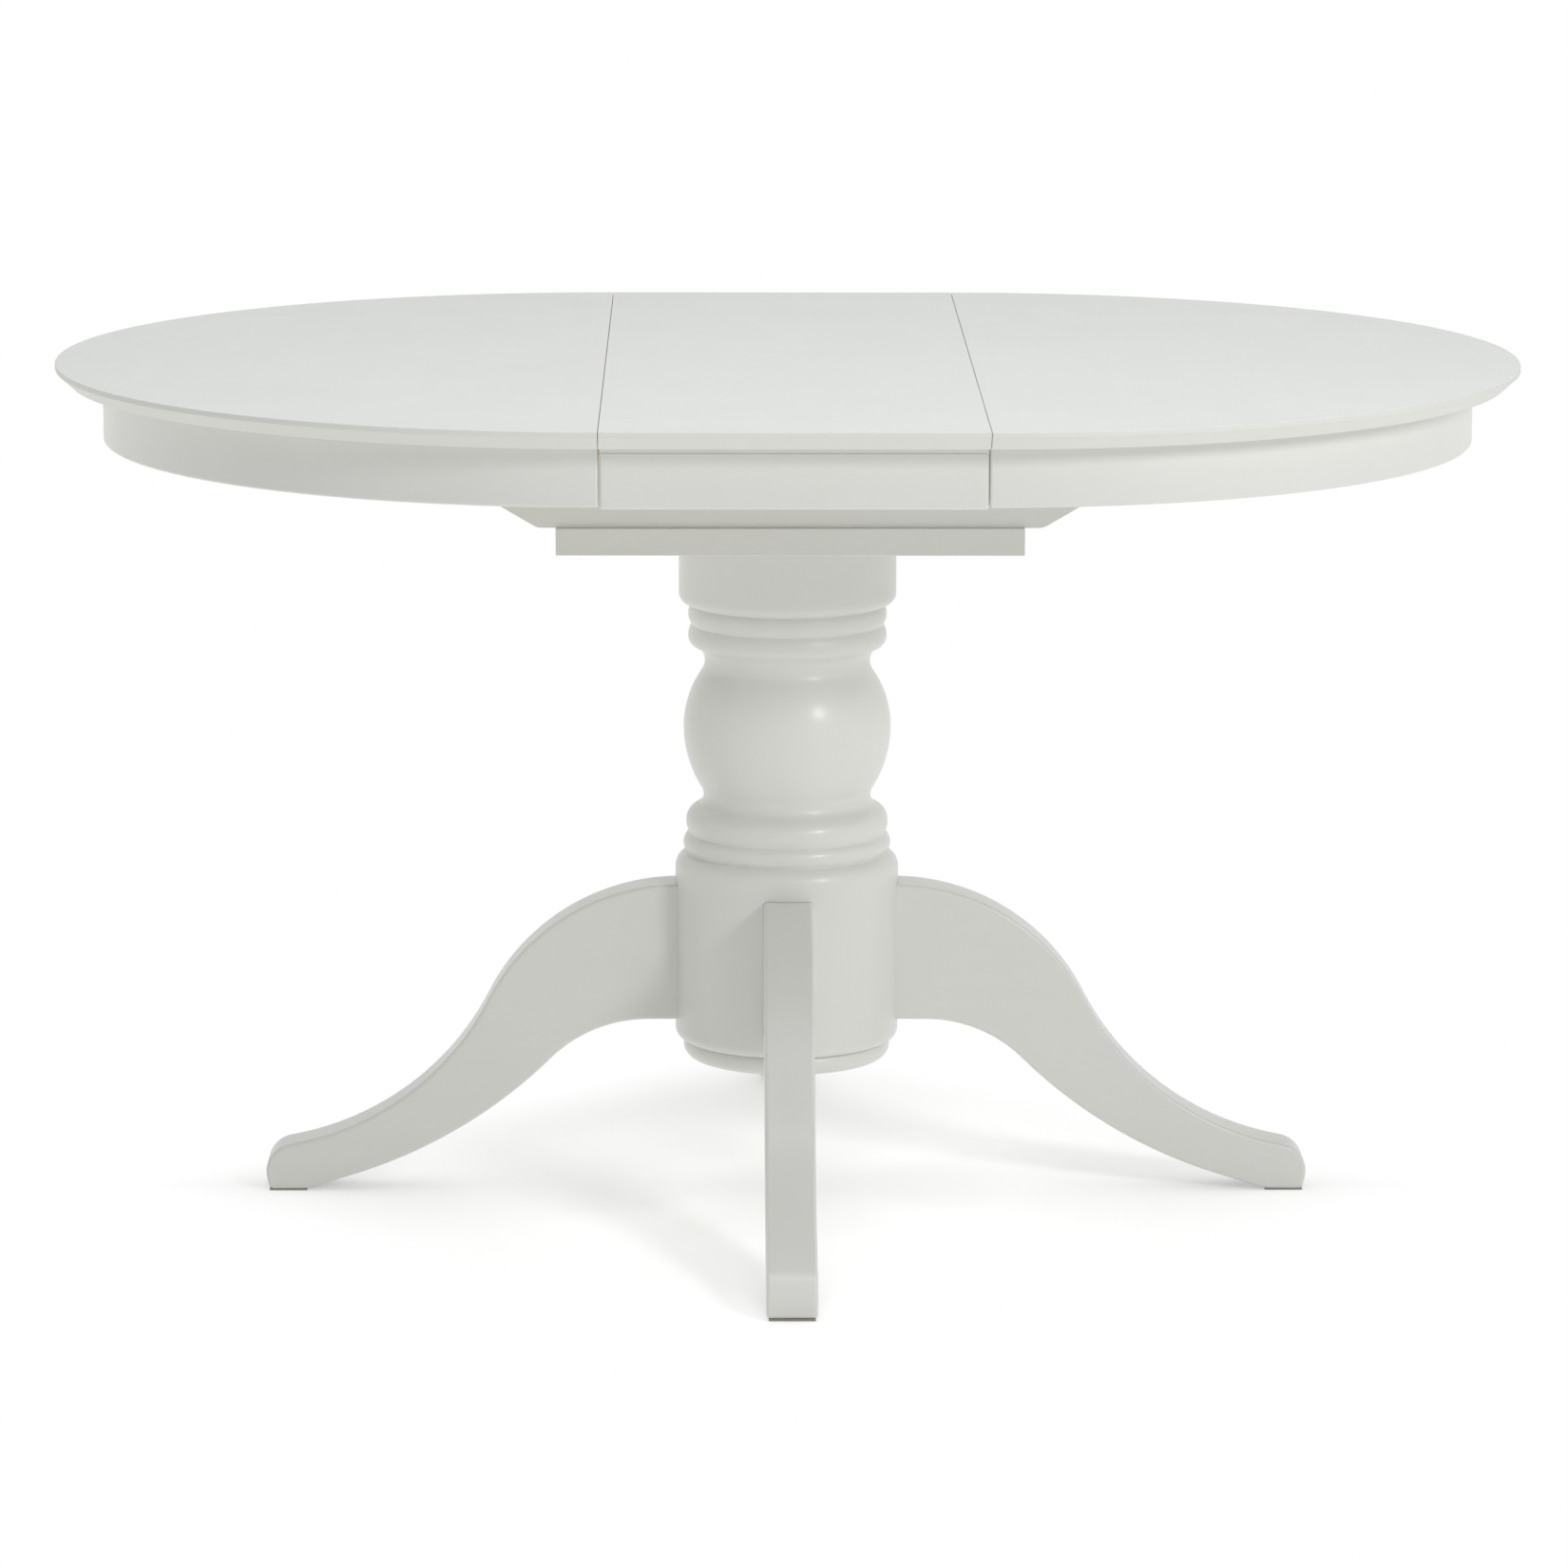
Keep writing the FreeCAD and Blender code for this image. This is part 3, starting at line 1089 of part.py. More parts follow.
def make_leaf():
    body = new_body()
    corners = []
    for side in (1, -1):
        rim = [
            (f"(TopRadius - BevelInset)*{side}", UNDER_TOP),
            (f"TopRadius*{side}", "TableHeight - NoseHeight"),
            (f"TopRadius*{side}", "TableHeight - NoseRound"),
            (f"(TopRadius - NoseRound)*{side}", "TableHeight"),
        ]
        corners += rim if side > 0 else reversed(rim)
    corners[3] = (*corners[3], "NoseRound", 1)
    corners[5] = (*corners[5], "NoseRound", 1)
    board = pad(body, "YZ_Plane", corners, "LeafWidth", symmetric=True)
    ends = lambda edge: (near(abs(edge.CenterOfMass.x), "LeafWidth/2")
                         and near(edge.CenterOfMass.z, "TableHeight"))
    rounded(body, board, ends, "JointEase")
    tools = []
    for y in (-1, 1):
        for place in leaf_screw_places(y):
            tools += screw_room(*place)
    for side in (-1, 1):
        for line in peg_lines(side):
            tools += peg_slot(side, line)
    piece("leaf_top", cut(body, tools))

    screws = []
    for place, y in (("front", -1), ("back", 1)):
        way = Y_WAY * y
        upright = [tool for spot in leaf_screw_places(y) for tool in screw_room(*spot)]
        level = [tool for spot in apron_screw_places(y) for tool in screw_room(*spot, way)]
        cleat = doc.addObject("Part::Fuse", "Cleat")
        cleat.Base = box("LeafWidth - 2*CleatInset", "CleatThickness", "CleatHeight",
                         "0", f"(ApronBack - CleatThickness/2)*{y}", f"{UNDER_TOP} - CleatHeight")
        lip = "(ApronThickness - LipSetback)"
        cleat.Tool = box("LeafWidth - 2*LeafApronEndGap", lip, "LeafApronDrop",
                         "0", f"(ApronBack + {lip}/2)*{y}", f"{UNDER_TOP} - LeafApronDrop")
        piece(f"leaf_cleat_{place}", cut(cleat, upright + level))
        make_leaf_apron(f"leaf_apron_{place}", y)
        screws += [screw(*spot) for spot in leaf_screw_places(y)]
        screws += [screw(*spot, way) for spot in apron_screw_places(y)]
    piece("leaf_screws", group(screws))


def make_leaf_apron(label, y):
    body = new_body()
    half, deep = "(LeafWidth/2 - LeafApronEndGap)", "ApronThickness/2"
    corners = [("-" + half, "-" + deep), (half, "-" + deep), (half, deep), ("-" + half, deep)]
    board = pad(body, "XY_Plane", corners, "LeafApronHeight")
    shown_edges = lambda edge: (near(edge.CenterOfMass.z, "0")
                                or near(abs(edge.CenterOfMass.x), half)
                                and near(edge.CenterOfMass.y, f"{deep}*{y}"))
    rounded(body, board, shown_edges, "ApronRound")
    put(body, "0", f"({APRON_FACE} - ApronThickness/2)*{y}", f"{UNDER_TOP} - LeafApronDrop - LeafApronHeight")
    room = [tool for spot in apron_screw_places(y) for tool in screw_room(*spot, Y_WAY * y)]
    piece(label, cut(body, room))


def peg_slot(side, line):
    """Slot for a peg of a half in the edge of the leaf, open below so that the leaf lifts straight out."""
    length = "(PegReach + PegPlay + Overrun)"
    centre = "(LeafWidth/2 + (Overrun - PegReach - PegPlay)/2)"
    slot = box(length, "2*(PegRadius + PegPlay)", "TopThickness/2 + Overrun",
               f"{centre}*{side}", line, f"{UNDER_TOP} - Overrun")
    crown = rod("PegRadius + PegPlay", length,
                f"({centre} - {length}/2)*{side}", line, PEG_LEVEL, X_WAY * side)
    fused = doc.addObject("Part::Fuse", "PegSlot")
    fused.Base = slot
    fused.Tool = crown
    return [fused]


make_column()
make_base_bead()
make_legs()
make_leg_fittings()
make_plate()
make_bearers()
make_rails()
make_gear_frame()
make_pinion()
make_half("left", -1)
make_half("right", 1)
make_leaf()
doc.recompute()

# Every object has to be sound before the pieces are written
for item in doc.Objects:
    if "Invalid" in item.State or "Error" in item.State:
        raise RuntimeError(f"{item.Label} did not compute: {item.State}")
os.makedirs("parts", exist_ok=True)
for label, item in pieces.items():
    if item.Shape.isNull() or not item.Shape.isValid():
        raise RuntimeError(f"{label} has no sound shape")
    item.Shape.exportStep(f"parts/{label}.step")
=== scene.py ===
import json
import math

import bpy
from mathutils import Matrix, Vector

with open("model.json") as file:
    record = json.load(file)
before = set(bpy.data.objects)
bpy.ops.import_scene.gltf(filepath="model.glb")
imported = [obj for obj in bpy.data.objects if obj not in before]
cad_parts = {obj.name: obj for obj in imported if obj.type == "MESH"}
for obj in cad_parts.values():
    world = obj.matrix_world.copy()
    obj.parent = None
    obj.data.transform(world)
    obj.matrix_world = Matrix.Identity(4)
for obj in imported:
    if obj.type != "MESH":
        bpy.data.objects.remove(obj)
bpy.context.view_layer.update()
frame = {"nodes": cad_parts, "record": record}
nodes = frame["nodes"]
scene = bpy.context.scene

# Camera of the photo: place in metres, turns in degrees
CAMERA_PLACE = Vector((-0.0717, -6.0684, 1.5383))
CAMERA_PITCH = 10.865
CAMERA_YAW = 0.651
CAMERA_ROLL = -0.131
IMAGE_SIDE_PX = 1650
FOCAL_PX = 7184.2
SENSOR_MM = 36

# Light from all round: its level at the horizon and overhead, then the shares of that level that come
# from the front, the left and the right
WORLD_HORIZON = 0.75
WORLD_ZENITH = 0.44
WORLD_FRONT = 0.32
WORLD_LEFT = 1.12
WORLD_RIGHT = 0.86
WORLD_TINT = (1.0, 1.0, 0.99)

# Lamps: places, aims and sides in metres; a level is what a white card at the aim would show
OVERHEAD_PLACE = (0.1, -0.7, 3.2)
OVERHEAD_AIM = (0, 0, 0.76)
OVERHEAD_WIDTH = 1.8
OVERHEAD_HEIGHT = 1.6
OVERHEAD_LEVEL = 0.39
OVERHEAD_TINT = (0.97, 1.0, 0.99)
KEY_PLACE = (1.979, -2.627, 1.914)
KEY_AIM = (0, 0, 0.45)
KEY_SIDE = 0.7
KEY_LEVEL = 0.24

# White floor as it lights the table: its own glow, the share of the glow that is lost close under a
# piece, and the share of the light falling on it that it gives back
FLOOR_SIDE = 60
FLOOR_GLOW = 0.52
GLOW_LOSS = 0.9
FLOOR_TINT = (1.0, 0.998, 0.968)
FLOOR_COLOUR = (0.50, 0.50, 0.48)

# The floor as the camera sees it: the gain that makes the open floor white, and how much bluer it is
SHADOW_GAIN = 1.18
FLOOR_BLUE = 1.015

# Light given back where the table hides the sky, and how far around it that counts
SPREAD_LIGHT = 0.53
SPREAD_REACH = 2.5

# How much darker the shadow is right under a piece, and how far around it that counts
CONTACT_LOSS = 0.50
CONTACT_REACH = 0.18
SKY_SAMPLES = 6

# The shadow fades to plain white between these two sums of the distances along x and y
SHADOW_INNER = 0.40
SHADOW_OUTER = 0.60

# Cosine between the softened and the plain normal on a face and on a sharp edge
EDGE_FACE = 0.995
EDGE_SHARP = 0.86
EDGE_SAMPLES = 4


def linear(red, green, blue):
    """Screen colour, 0 to 255, as the colour values that the shader takes (sRGB formula)."""
    values = []
    for level in (red, green, blue):
        share = level / 255
        values.append(share / 12.92 if share <= 0.04045 else ((share + 0.055) / 1.055) ** 2.4)
    return (*values, 1)


class Tree:
    """The node tree of a material or of the world, with short ways to add and join nodes."""

    def __init__(self, owner):
        owner.use_nodes = True
        self.nodes = owner.node_tree.nodes
        self.links = owner.node_tree.links
        self.nodes.clear()

    def add(self, kind, inputs=None, **settings):
        """New node; an input is a plain value or the output of another node."""
        node = self.nodes.new("ShaderNode" + kind)
        for name, value in settings.items():
            setattr(node, name, value)
        for name, value in (inputs or {}).items():
            if isinstance(value, bpy.types.NodeSocket):
                self.links.new(value, node.inputs[name])
            else:
                node.inputs[name].default_value = value
        return node

    def coords(self, stretch=(1, 1, 1), shift=(0, 0, 0)):
        """Place on the object in metres, stretched and shifted."""
        place = self.add("TexCoord").outputs["Object"]
        mapped = self.add("Mapping", {"Vector": place, "Scale": stretch, "Location": shift})
        return mapped.outputs["Vector"]

    def noise(self, vector, scale, detail=3, roughness=0.5):
        """Cloudy pattern, 0 to 1, with about as many waves to the metre as the scale says."""
        inputs = {"Vector": vector, "Scale": scale, "Detail": detail, "Roughness": roughness}
        return self.add("TexNoise", inputs).outputs["Fac"]

    def ramp(self, value, low, high, low_to=0, high_to=1):
        """The value moved from one range to another."""
        inputs = {
            "Value": value, "From Min": low, "From Max": high,
            "To Min": low_to, "To Max": high_to,
        }
        return self.add("MapRange", inputs).outputs["Result"]

    def math(self, operation, first, second):
        return self.add("Math", {0: first, 1: second}, operation=operation).outputs["Value"]

    def blend(self, share, first, second):
        """One colour mixed into another; 6, 7 and 2 are the places of the node's colour sockets."""
        return self.add("Mix", {0: share, 6: first, 7: second}, data_type="RGBA").outputs[2]

    def tint(self, tone, mask, amount, colour):
        """The tone moved towards a screen colour, by the given share of the mask."""
        return self.blend(self.math("MULTIPLY", mask, amount), tone, linear(*colour))

    def bump(self, height, depth, strength, under=None):
        """Normal of a fine relief, on top of another normal if there is one."""
        inputs = {"Height": height, "Distance": depth, "Strength": strength}
        if under is not None:
            inputs["Normal"] = under
        return self.add("Bump", inputs).outputs["Normal"]

    def softened(self, radius):
        """Normal that rounds sharp edges by the radius in metres."""
        return self.add("Bevel", {"Radius": radius}, samples=EDGE_SAMPLES).outputs["Normal"]

    def edge_mask(self, soft):
        """1 on sharp edges and 0 on faces."""
        plain = self.add("NewGeometry").outputs["Normal"]
        facing = self.add("VectorMath", {0: soft, 1: plain}, operation="DOT_PRODUCT")
        return self.ramp(facing.outputs["Value"], EDGE_FACE, EDGE_SHARP)

    def both(self, first, second):
        """The light of two shaders added up."""
        return self.add("AddShader", {0: first, 1: second}).outputs[0]

    def either(self, share, first, second):
        """The first shader where the share is 0, the second where it is 1."""
        return self.add("MixShader", {0: share, 1: first, 2: second}).outputs[0]

    def finish(self, shader):
        self.add("OutputMaterial", {"Surface": shader})


def new_material(name):
    material = bpy.data.materials.new(name)
    return material, Tree(material)


# Scale of a wood pattern along the grain, against 1 across it: fibres and rings, then ray flecks
GRAIN_SCALE = 0.06
FLECK_SCALE = 0.35
WAYS = ("x", "y", "z")


def lengthwise(tree, along, shift, scale):
    """Place on the object, scaled along the grain."""
    return tree.coords(tuple(scale if way == along else 1 for way in WAYS), shift)


# Lacquer: screen colours of the paint and of the painted shade that greys the legs, how strongly each
# shows, its gloss and its relief in metres
PAINT = (228, 229, 226)
PAINT_CLOUD = (230, 231, 228)
PAINT_BRUSHED = (225, 226, 222)
PAINT_PORES = (205, 204, 196)
PAINTED_SHADE_TONE = (196, 196, 190)
PAINT_EDGES = (219, 218, 210)
BRUSH_AMOUNT = 0.20
PORE_AMOUNT = 0.12
PAINT_EDGE_AMOUNT = 0.30
PAINT_EDGE_RADIUS = 0.0006
PAINT_EDGE_SHINE = -0.05
PAINT_ROUGH = (0.32, 0.40)
PAINT_IOR = 1.47
COAT_ROUGH = 0.12
PEEL_DEPTH = 0.00012
GRAIN_DEPTH = 0.00020
PORE_DEPTH = 0.0001


def lacquer(name, along, shift, painted_shade, dull, coat):
    """Satin off-white lacquer over close-grained hardwood whose grain runs one way, greyed by any
    painted shade it is given.
    """
    material, tree = new_material(name)
    place = tree.coords(shift=shift)
    fibres = lengthwise(tree, along, shift, GRAIN_SCALE)
    grain = tree.noise(fibres, scale=420, detail=5, roughness=0.62)
    pores = tree.ramp(tree.noise(fibres, scale=1400, detail=2), low=0.60, high=0.75)
    brush = tree.ramp(tree.noise(fibres, scale=60), low=0.35, high=0.65)
    peel = tree.noise(place, scale=1100, detail=2)
    cloud = tree.ramp(tree.noise(place, scale=7, detail=4, roughness=0.55), low=0.32, high=0.68)
    gloss = tree.noise(place, scale=16)
    soft = tree.softened(PAINT_EDGE_RADIUS)
    edge = tree.edge_mask(soft)

    tone = tree.blend(cloud, linear(*PAINT), linear(*PAINT_CLOUD))
    tone = tree.tint(tone, brush, BRUSH_AMOUNT, PAINT_BRUSHED)
    tone = tree.tint(tone, pores, PORE_AMOUNT, PAINT_PORES)
    # Painted shade: the tone greyed towards a shaded colour by the given share (used on the legs)
    tone = tree.blend(painted_shade, tone, linear(*PAINTED_SHADE_TONE))
    tone = tree.tint(tone, edge, PAINT_EDGE_AMOUNT, PAINT_EDGES)
    smooth, rough = PAINT_ROUGH
    shine = tree.ramp(gloss, 0.3, 0.7, smooth + dull, rough + dull)
    shine = tree.math("ADD", shine, tree.math("MULTIPLY", edge, PAINT_EDGE_SHINE))
    relief = tree.bump(peel, PEEL_DEPTH, strength=0.10, under=soft)
    relief = tree.bump(grain, GRAIN_DEPTH, strength=0.16, under=relief)
    relief = tree.bump(tree.math("SUBTRACT", 1, pores), PORE_DEPTH, strength=0.10, under=relief)
    shader = tree.add("BsdfPrincipled", {
        "Base Color": tone, "Roughness": shine, "Normal": relief,
        "IOR": PAINT_IOR, "Coat Weight": coat, "Coat Roughness": COAT_ROUGH,
    })
    tree.finish(shader.outputs["BSDF"])
    return material


# Beech: screen colours of the wood, how strongly each shows, its gloss and its relief in metres
BEECH_EARLY = (214, 181, 142)
BEECH_LATE = (200, 163, 121)
BEECH_PALE = (221, 190, 154)
BEECH_FIBRE = (186, 148, 107)
BEECH_FLECKS = (150, 108, 72)
BEECH_EDGES = (226, 198, 164)
PALE_AMOUNT = 0.5
FIBRE_AMOUNT = 0.35
FLECK_AMOUNT = 0.55
BEECH_EDGE_AMOUNT = 0.35
BEECH_EDGE_RADIUS = 0.0010
BEECH_ROUGH = (0.50, 0.66)
BEECH_IOR = 1.5
FIBRE_DEPTH = 0.00025
RINGS = {"Scale": 22, "Distortion": 6, "Detail": 3, "Detail Scale": 1.4, "Phase Offset": 1.7}


def beech(name, along, shift):
    """Planed beech: pale pinkish brown, fine fibre and short dark ray flecks."""
    material, tree = new_material(name)
    fibres = lengthwise(tree, along, shift, GRAIN_SCALE)
    rays = lengthwise(tree, along, shift, FLECK_SCALE)
    warp = tree.noise(fibres, scale=14)
    rings = tree.add("TexWave", {"Vector": fibres, **RINGS}).outputs["Fac"]
    fibre = tree.noise(fibres, scale=900, detail=4, roughness=0.65)
    flecks = tree.ramp(tree.noise(rays, scale=620, detail=1), low=0.66, high=0.74)
    soft = tree.softened(BEECH_EDGE_RADIUS)
    edge = tree.edge_mask(soft)

    tone = tree.blend(rings, linear(*BEECH_EARLY), linear(*BEECH_LATE))
    tone = tree.tint(tone, warp, PALE_AMOUNT, BEECH_PALE)
    tone = tree.tint(tone, fibre, FIBRE_AMOUNT, BEECH_FIBRE)
    tone = tree.tint(tone, flecks, FLECK_AMOUNT, BEECH_FLECKS)
    tone = tree.tint(tone, edge, BEECH_EDGE_AMOUNT, BEECH_EDGES)
    shader = tree.add("BsdfPrincipled", {
        "Base Color": tone,
        "Roughness": tree.ramp(fibre, 0.3, 0.7, *BEECH_ROUGH),
        "Normal": tree.bump(fibre, FIBRE_DEPTH, strength=0.25, under=soft),
        "IOR": BEECH_IOR,
    })
    tree.finish(shader.outputs["BSDF"])
    return material


# Zinc: screen colours, share of the spangle, gloss, edge radius and scratches in metres
ZINC_BRIGHT = (204, 206, 209)
ZINC_DULL = (176, 178, 180)
SPANGLE_SCALE = 700
SPANGLE_AMOUNT = 0.06
ZINC_ROUGH = (0.26, 0.42)
ZINC_EDGE_RADIUS = 0.0004
SCRATCH_STRETCH = (1, 1, 0.05)
SCRATCH_DEPTH = 0.00005


def zinc():
    """Bright zinc plate on steel: faint spangle, fine scratches, darker in the worn spots."""
    material, tree = new_material("zinc_steel")
    place = tree.coords()
    spangle = tree.add("TexVoronoi", {"Vector": place, "Scale": SPANGLE_SCALE}).outputs["Color"]
    dull = tree.ramp(tree.noise(place, scale=260, detail=4), low=0.4, high=0.7)
    scratch = tree.noise(tree.coords(SCRATCH_STRETCH), scale=2600, detail=2)
    soft = tree.softened(ZINC_EDGE_RADIUS)
    tone = tree.blend(dull, linear(*ZINC_BRIGHT), linear(*ZINC_DULL))
    shader = tree.add("BsdfPrincipled", {
        "Base Color": tree.blend(SPANGLE_AMOUNT, tone, spangle),
        "Metallic": 1.0,
        "Roughness": tree.ramp(dull, 0, 1, *ZINC_ROUGH),
        "Normal": tree.bump(scratch, SCRATCH_DEPTH, strength=0.2, under=soft),
    })
    tree.finish(shader.outputs["BSDF"])
    return material


# Nylon: screen colours, how pale its edges are, gloss, edge radius and grain in metres
NYLON_PALE = (228, 224, 212)
NYLON_FLOW = (220, 216, 203)
NYLON_EDGES = (236, 233, 224)
NYLON_EDGE_AMOUNT = 0.4
NYLON_ROUGH = (0.42, 0.54)
NYLON_IOR = 1.53
NYLON_EDGE_RADIUS = 0.0005
NYLON_GRAIN_DEPTH = 0.00008


def nylon():
    """Moulded nylon: milky off-white with a fine matt grain."""
    material, tree = new_material("nylon")
    place = tree.coords()
    grain = tree.noise(place, scale=2400, detail=2)
    flow = tree.ramp(tree.noise(place, scale=30), low=0.3, high=0.7)
    soft = tree.softened(NYLON_EDGE_RADIUS)
    tone = tree.blend(flow, linear(*NYLON_PALE), linear(*NYLON_FLOW))
    shader = tree.add("BsdfPrincipled", {
        "Base Color": tree.tint(tone, tree.edge_mask(soft), NYLON_EDGE_AMOUNT, NYLON_EDGES),
        "Roughness": tree.ramp(grain, 0.3, 0.7, *NYLON_ROUGH),
        "Normal": tree.bump(grain, NYLON_GRAIN_DEPTH, strength=0.3, under=soft),
        "IOR": NYLON_IOR,
    })
    tree.finish(shader.outputs["BSDF"])
    return material


# Felt: screen colours, how strongly the matting shows, its dullness and its fibres in metres
FELT_DARK = (140, 136, 128)
FELT_PALE = (184, 180, 171)
FELT_MATTED = (160, 155, 146)
MATTING_AMOUNT = 0.4
FELT_STRETCH = (1, 1, 3)
FELT_ROUGH = 0.95
FELT_SHEEN = 0.3
FELT_SHEEN_ROUGH = 0.6
FELT_DEPTH = 0.0005


def felt():
    """Dense grey-brown felt: matted fibres, no gloss."""
    material, tree = new_material("felt")
    fibre = tree.noise(tree.coords(FELT_STRETCH), scale=1800, detail=5, roughness=0.7)
    matting = tree.ramp(tree.noise(tree.coords(), scale=240), low=0.35, high=0.65)
    tone = tree.blend(fibre, linear(*FELT_DARK), linear(*FELT_PALE))
    shader = tree.add("BsdfPrincipled", {
        "Base Color": tree.tint(tone, matting, MATTING_AMOUNT, FELT_MATTED),
        "Roughness": FELT_ROUGH,
        "Normal": tree.bump(fibre, FELT_DEPTH, strength=0.6),
        "Sheen Weight": FELT_SHEEN,
        "Sheen Roughness": FELT_SHEEN_ROUGH,
    })
    tree.finish(shader.outputs["BSDF"])
    return material


# Which way the grain runs in each wooden piece, painted or bare; along x in the others
GRAIN = {
    "column": "z",
    "base_bead": "z",
    "leg_front": "y",
    "leg_back": "y",
    "left_top": "y",
    "right_top": "y",
    "leaf_top": "y",
    "cross_rail_left": "y",
    "cross_rail_right": "y",
    "left_batten": "y",
    "right_batten": "y",
}

# Step in metres that each piece's pattern is moved by, so that no two pieces share one
PATTERN_STEP = (0.37, 0.23, 0.11)

# Painted shade on the legs: how far their paint is greyed towards the shaded colour, standing in for
# the lower light that reaches them
LEG_PAINTED_SHADE = 0.06

# Clear coat over the paint; the tops are rubbed down flatter
COAT = 0.12
TOP_COAT = 0.02
TOP_DULL = 0.18


def wood_finish(slot, name, index):
    """The paint or the bare wood of one piece, with a pattern of its own."""
    along = GRAIN.get(name, "x")
    shift = tuple(step * index for step in PATTERN_STEP)
    label = f"{slot}_{name}"
    if slot != "white_lacquer":
        return beech(label, along, shift)
    # The legs get painted shade; the other pieces none
    painted_shade = LEG_PAINTED_SHADE if name.startswith("leg_") else 0
    rubbed = name.endswith("_top")
    dull = TOP_DULL if rubbed else 0
    coat = TOP_COAT if rubbed else COAT
    return lacquer(label, along, shift, painted_shade, dull, coat)


def dress_nodes():
    """Gives every solid of the frame its own finish by the material slot that its record names."""
    shared = {"zinc_steel": zinc(), "nylon": nylon(), "felt": felt()}
    slots = {part["node"]: part["material_slot"] for part in frame["record"]["subparts"]}
    for index, name in enumerate(sorted(nodes)):
        slot = slots[name]
        material = shared[slot] if slot in shared else wood_finish(slot, name, index)
        solid = nodes[name]
        if not solid.material_slots:
            solid.data.materials.append(material)
        for place in solid.material_slots:
            place.material = material


def make_camera():
    """Camera at the photo's place, turned and zoomed as the photo was taken."""
    pitch, yaw, roll = (math.radians(turn) for turn in (CAMERA_PITCH, CAMERA_YAW, CAMERA_ROLL))
    ahead = Vector((math.sin(yaw) * math.cos(pitch), math.cos(yaw) * math.cos(pitch), -math.sin(pitch)))
    level = Vector((math.cos(yaw), -math.sin(yaw), 0))
    below = ahead.cross(level)
    right = math.cos(roll) * level + math.sin(roll) * below
    down = math.cos(roll) * below - math.sin(roll) * level
    data = bpy.data.cameras.new("photo_camera")
    data.sensor_width = SENSOR_MM
    data.lens = FOCAL_PX / IMAGE_SIDE_PX * SENSOR_MM
    camera = bpy.data.objects.new("photo_camera", data)
    turn = Matrix((right, -down, -ahead)).transposed().to_4x4()
    camera.matrix_world = Matrix.Translation(CAMERA_PLACE) @ turn
    scene.collection.objects.link(camera)
    scene.camera = camera


def soft_box(name, place, aim, width, height, level, tint=(1, 1, 1)):
    """Rectangular lamp; level is what a white card at the aim, facing the lamp, would show."""
    way = Vector(aim) - Vector(place)
    data = bpy.data.lights.new(name, "AREA")
    data.shape = "RECTANGLE"
    data.size = width
    data.size_y = height
    data.energy = level * math.pi ** 2 * way.length_squared
    data.color = tint
    lamp = bpy.data.objects.new(name, data)
    lamp.location = place
    lamp.rotation_euler = way.to_track_quat("-Z", "Y").to_euler()
    scene.collection.objects.link(lamp)


def seen_by_camera(tree):
    """1 where the camera looks straight, by a reflection or through glass; 0 for light that spreads."""
    path = tree.add("LightPath").outputs
    seen = tree.math("MAXIMUM", path["Is Camera Ray"], path["Is Glossy Ray"])
    return tree.math("MAXIMUM", seen, path["Is Transmission Ray"])


def make_world():
    """Soft light from all round, which the camera sees as plain white."""
    world = bpy.data.worlds.new("studio")
    scene.world = world
    tree = Tree(world)
    way = tree.add("SeparateXYZ", {0: tree.add("TexCoord").outputs["Generated"]}).outputs
    level = tree.ramp(way["Z"], 0, 1, WORLD_HORIZON, WORLD_ZENITH)
    level = tree.math("MULTIPLY", level, tree.ramp(way["Y"], 0, -1, 1, WORLD_FRONT))
    level = tree.math("MULTIPLY", level, tree.ramp(way["X"], -1, 1, WORLD_LEFT, WORLD_RIGHT))
    fill = tree.add("Background", {"Color": (*WORLD_TINT, 1), "Strength": level}).outputs[0]
    white = tree.add("Background", {"Color": (1, 1, 1, 1), "Strength": 1}).outputs[0]
    tree.add("OutputWorld", {"Surface": tree.either(seen_by_camera(tree), fill, white)})


def open_sky(tree, reach):
    """1 on the open floor, down to 0 where things within the reach hide all of the sky."""
    return tree.add("AmbientOcclusion", {"Distance": reach}, samples=SKY_SAMPLES).outputs["AO"]


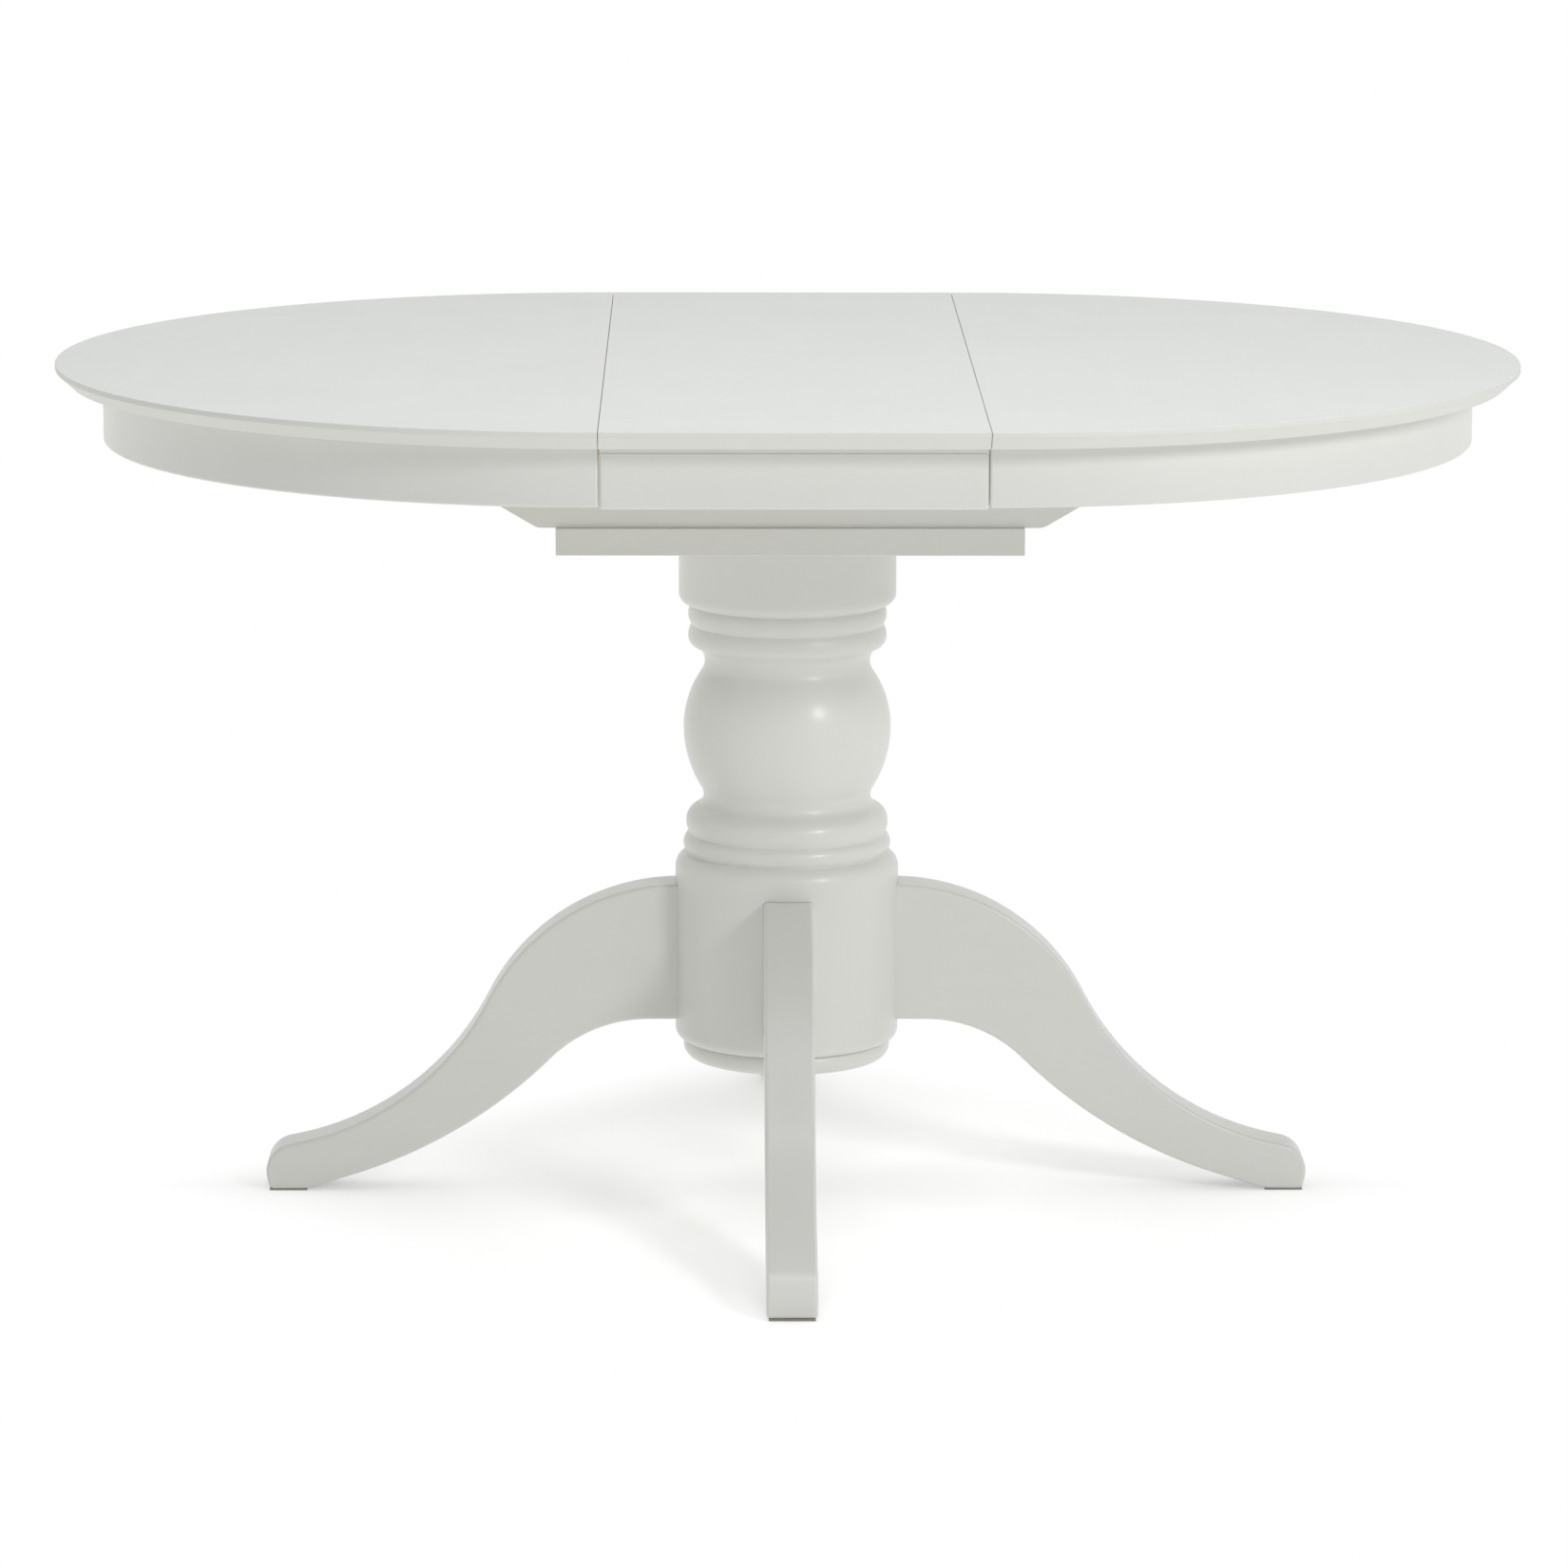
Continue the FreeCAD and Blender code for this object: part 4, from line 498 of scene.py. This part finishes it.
def floor_material():
    """White paper, clear from below: its shadow shows near the table, plain white further out."""
    material, tree = new_material("white_floor")
    near_sky = open_sky(tree, CONTACT_REACH)
    wide_sky = open_sky(tree, SPREAD_REACH)

    own_level = tree.ramp(near_sky, 1, 0, FLOOR_GLOW, FLOOR_GLOW * (1 - GLOW_LOSS))
    own = tree.add("Emission", {"Color": (*FLOOR_TINT, 1), "Strength": own_level}).outputs[0]
    bounce = tree.add("BsdfDiffuse", {"Color": (*FLOOR_COLOUR, 1)}).outputs[0]
    paper = tree.both(own, bounce)

    level = tree.ramp(near_sky, 1, 0, SHADOW_GAIN, SHADOW_GAIN * (1 - CONTACT_LOSS))
    blue = tree.math("MULTIPLY", level, FLOOR_BLUE)
    colour = tree.add("CombineColor", {0: level, 1: level, 2: blue}).outputs[0]
    lit = tree.add("BsdfDiffuse", {"Color": colour}).outputs[0]
    spread = tree.math("MULTIPLY", tree.ramp(wide_sky, 1, 0, 0, SPREAD_LIGHT), level)
    glow = tree.add("Emission", {"Strength": spread}).outputs[0]
    shadow = tree.both(glow, lit)

    place = tree.add("TexCoord").outputs["Object"]
    apart = tree.add("VectorMath", {0: place}, operation="ABSOLUTE").outputs["Vector"]
    away = tree.add("VectorMath", {0: apart, 1: (1, 1, 0)}, operation="DOT_PRODUCT").outputs["Value"]
    fade_range = {"Value": away, "From Min": SHADOW_INNER, "From Max": SHADOW_OUTER}
    fade = tree.add("MapRange", fade_range, interpolation_type="SMOOTHSTEP").outputs["Result"]
    white = tree.add("Emission", {"Strength": 1}).outputs[0]
    view = tree.either(fade, shadow, white)

    above = tree.either(seen_by_camera(tree), paper, view)
    from_below = tree.add("NewGeometry").outputs["Backfacing"]
    clear = tree.add("BsdfTransparent").outputs[0]
    tree.finish(tree.either(from_below, above, clear))
    return material


def make_floor():
    mesh = bpy.data.meshes.new("floor")
    half = FLOOR_SIDE / 2
    corners = [(-half, -half, 0), (half, -half, 0), (half, half, 0), (-half, half, 0)]
    mesh.from_pydata(corners, [], [(0, 1, 2, 3)])
    mesh.materials.append(floor_material())
    floor = bpy.data.objects.new("floor", mesh)
    scene.collection.objects.link(floor)


dress_nodes()
make_camera()
make_world()
make_floor()
soft_box("overhead", OVERHEAD_PLACE, OVERHEAD_AIM, OVERHEAD_WIDTH, OVERHEAD_HEIGHT, OVERHEAD_LEVEL,
         OVERHEAD_TINT)
soft_box("key", KEY_PLACE, KEY_AIM, KEY_SIDE, KEY_SIDE, KEY_LEVEL)
scene.view_settings.view_transform = "Standard"
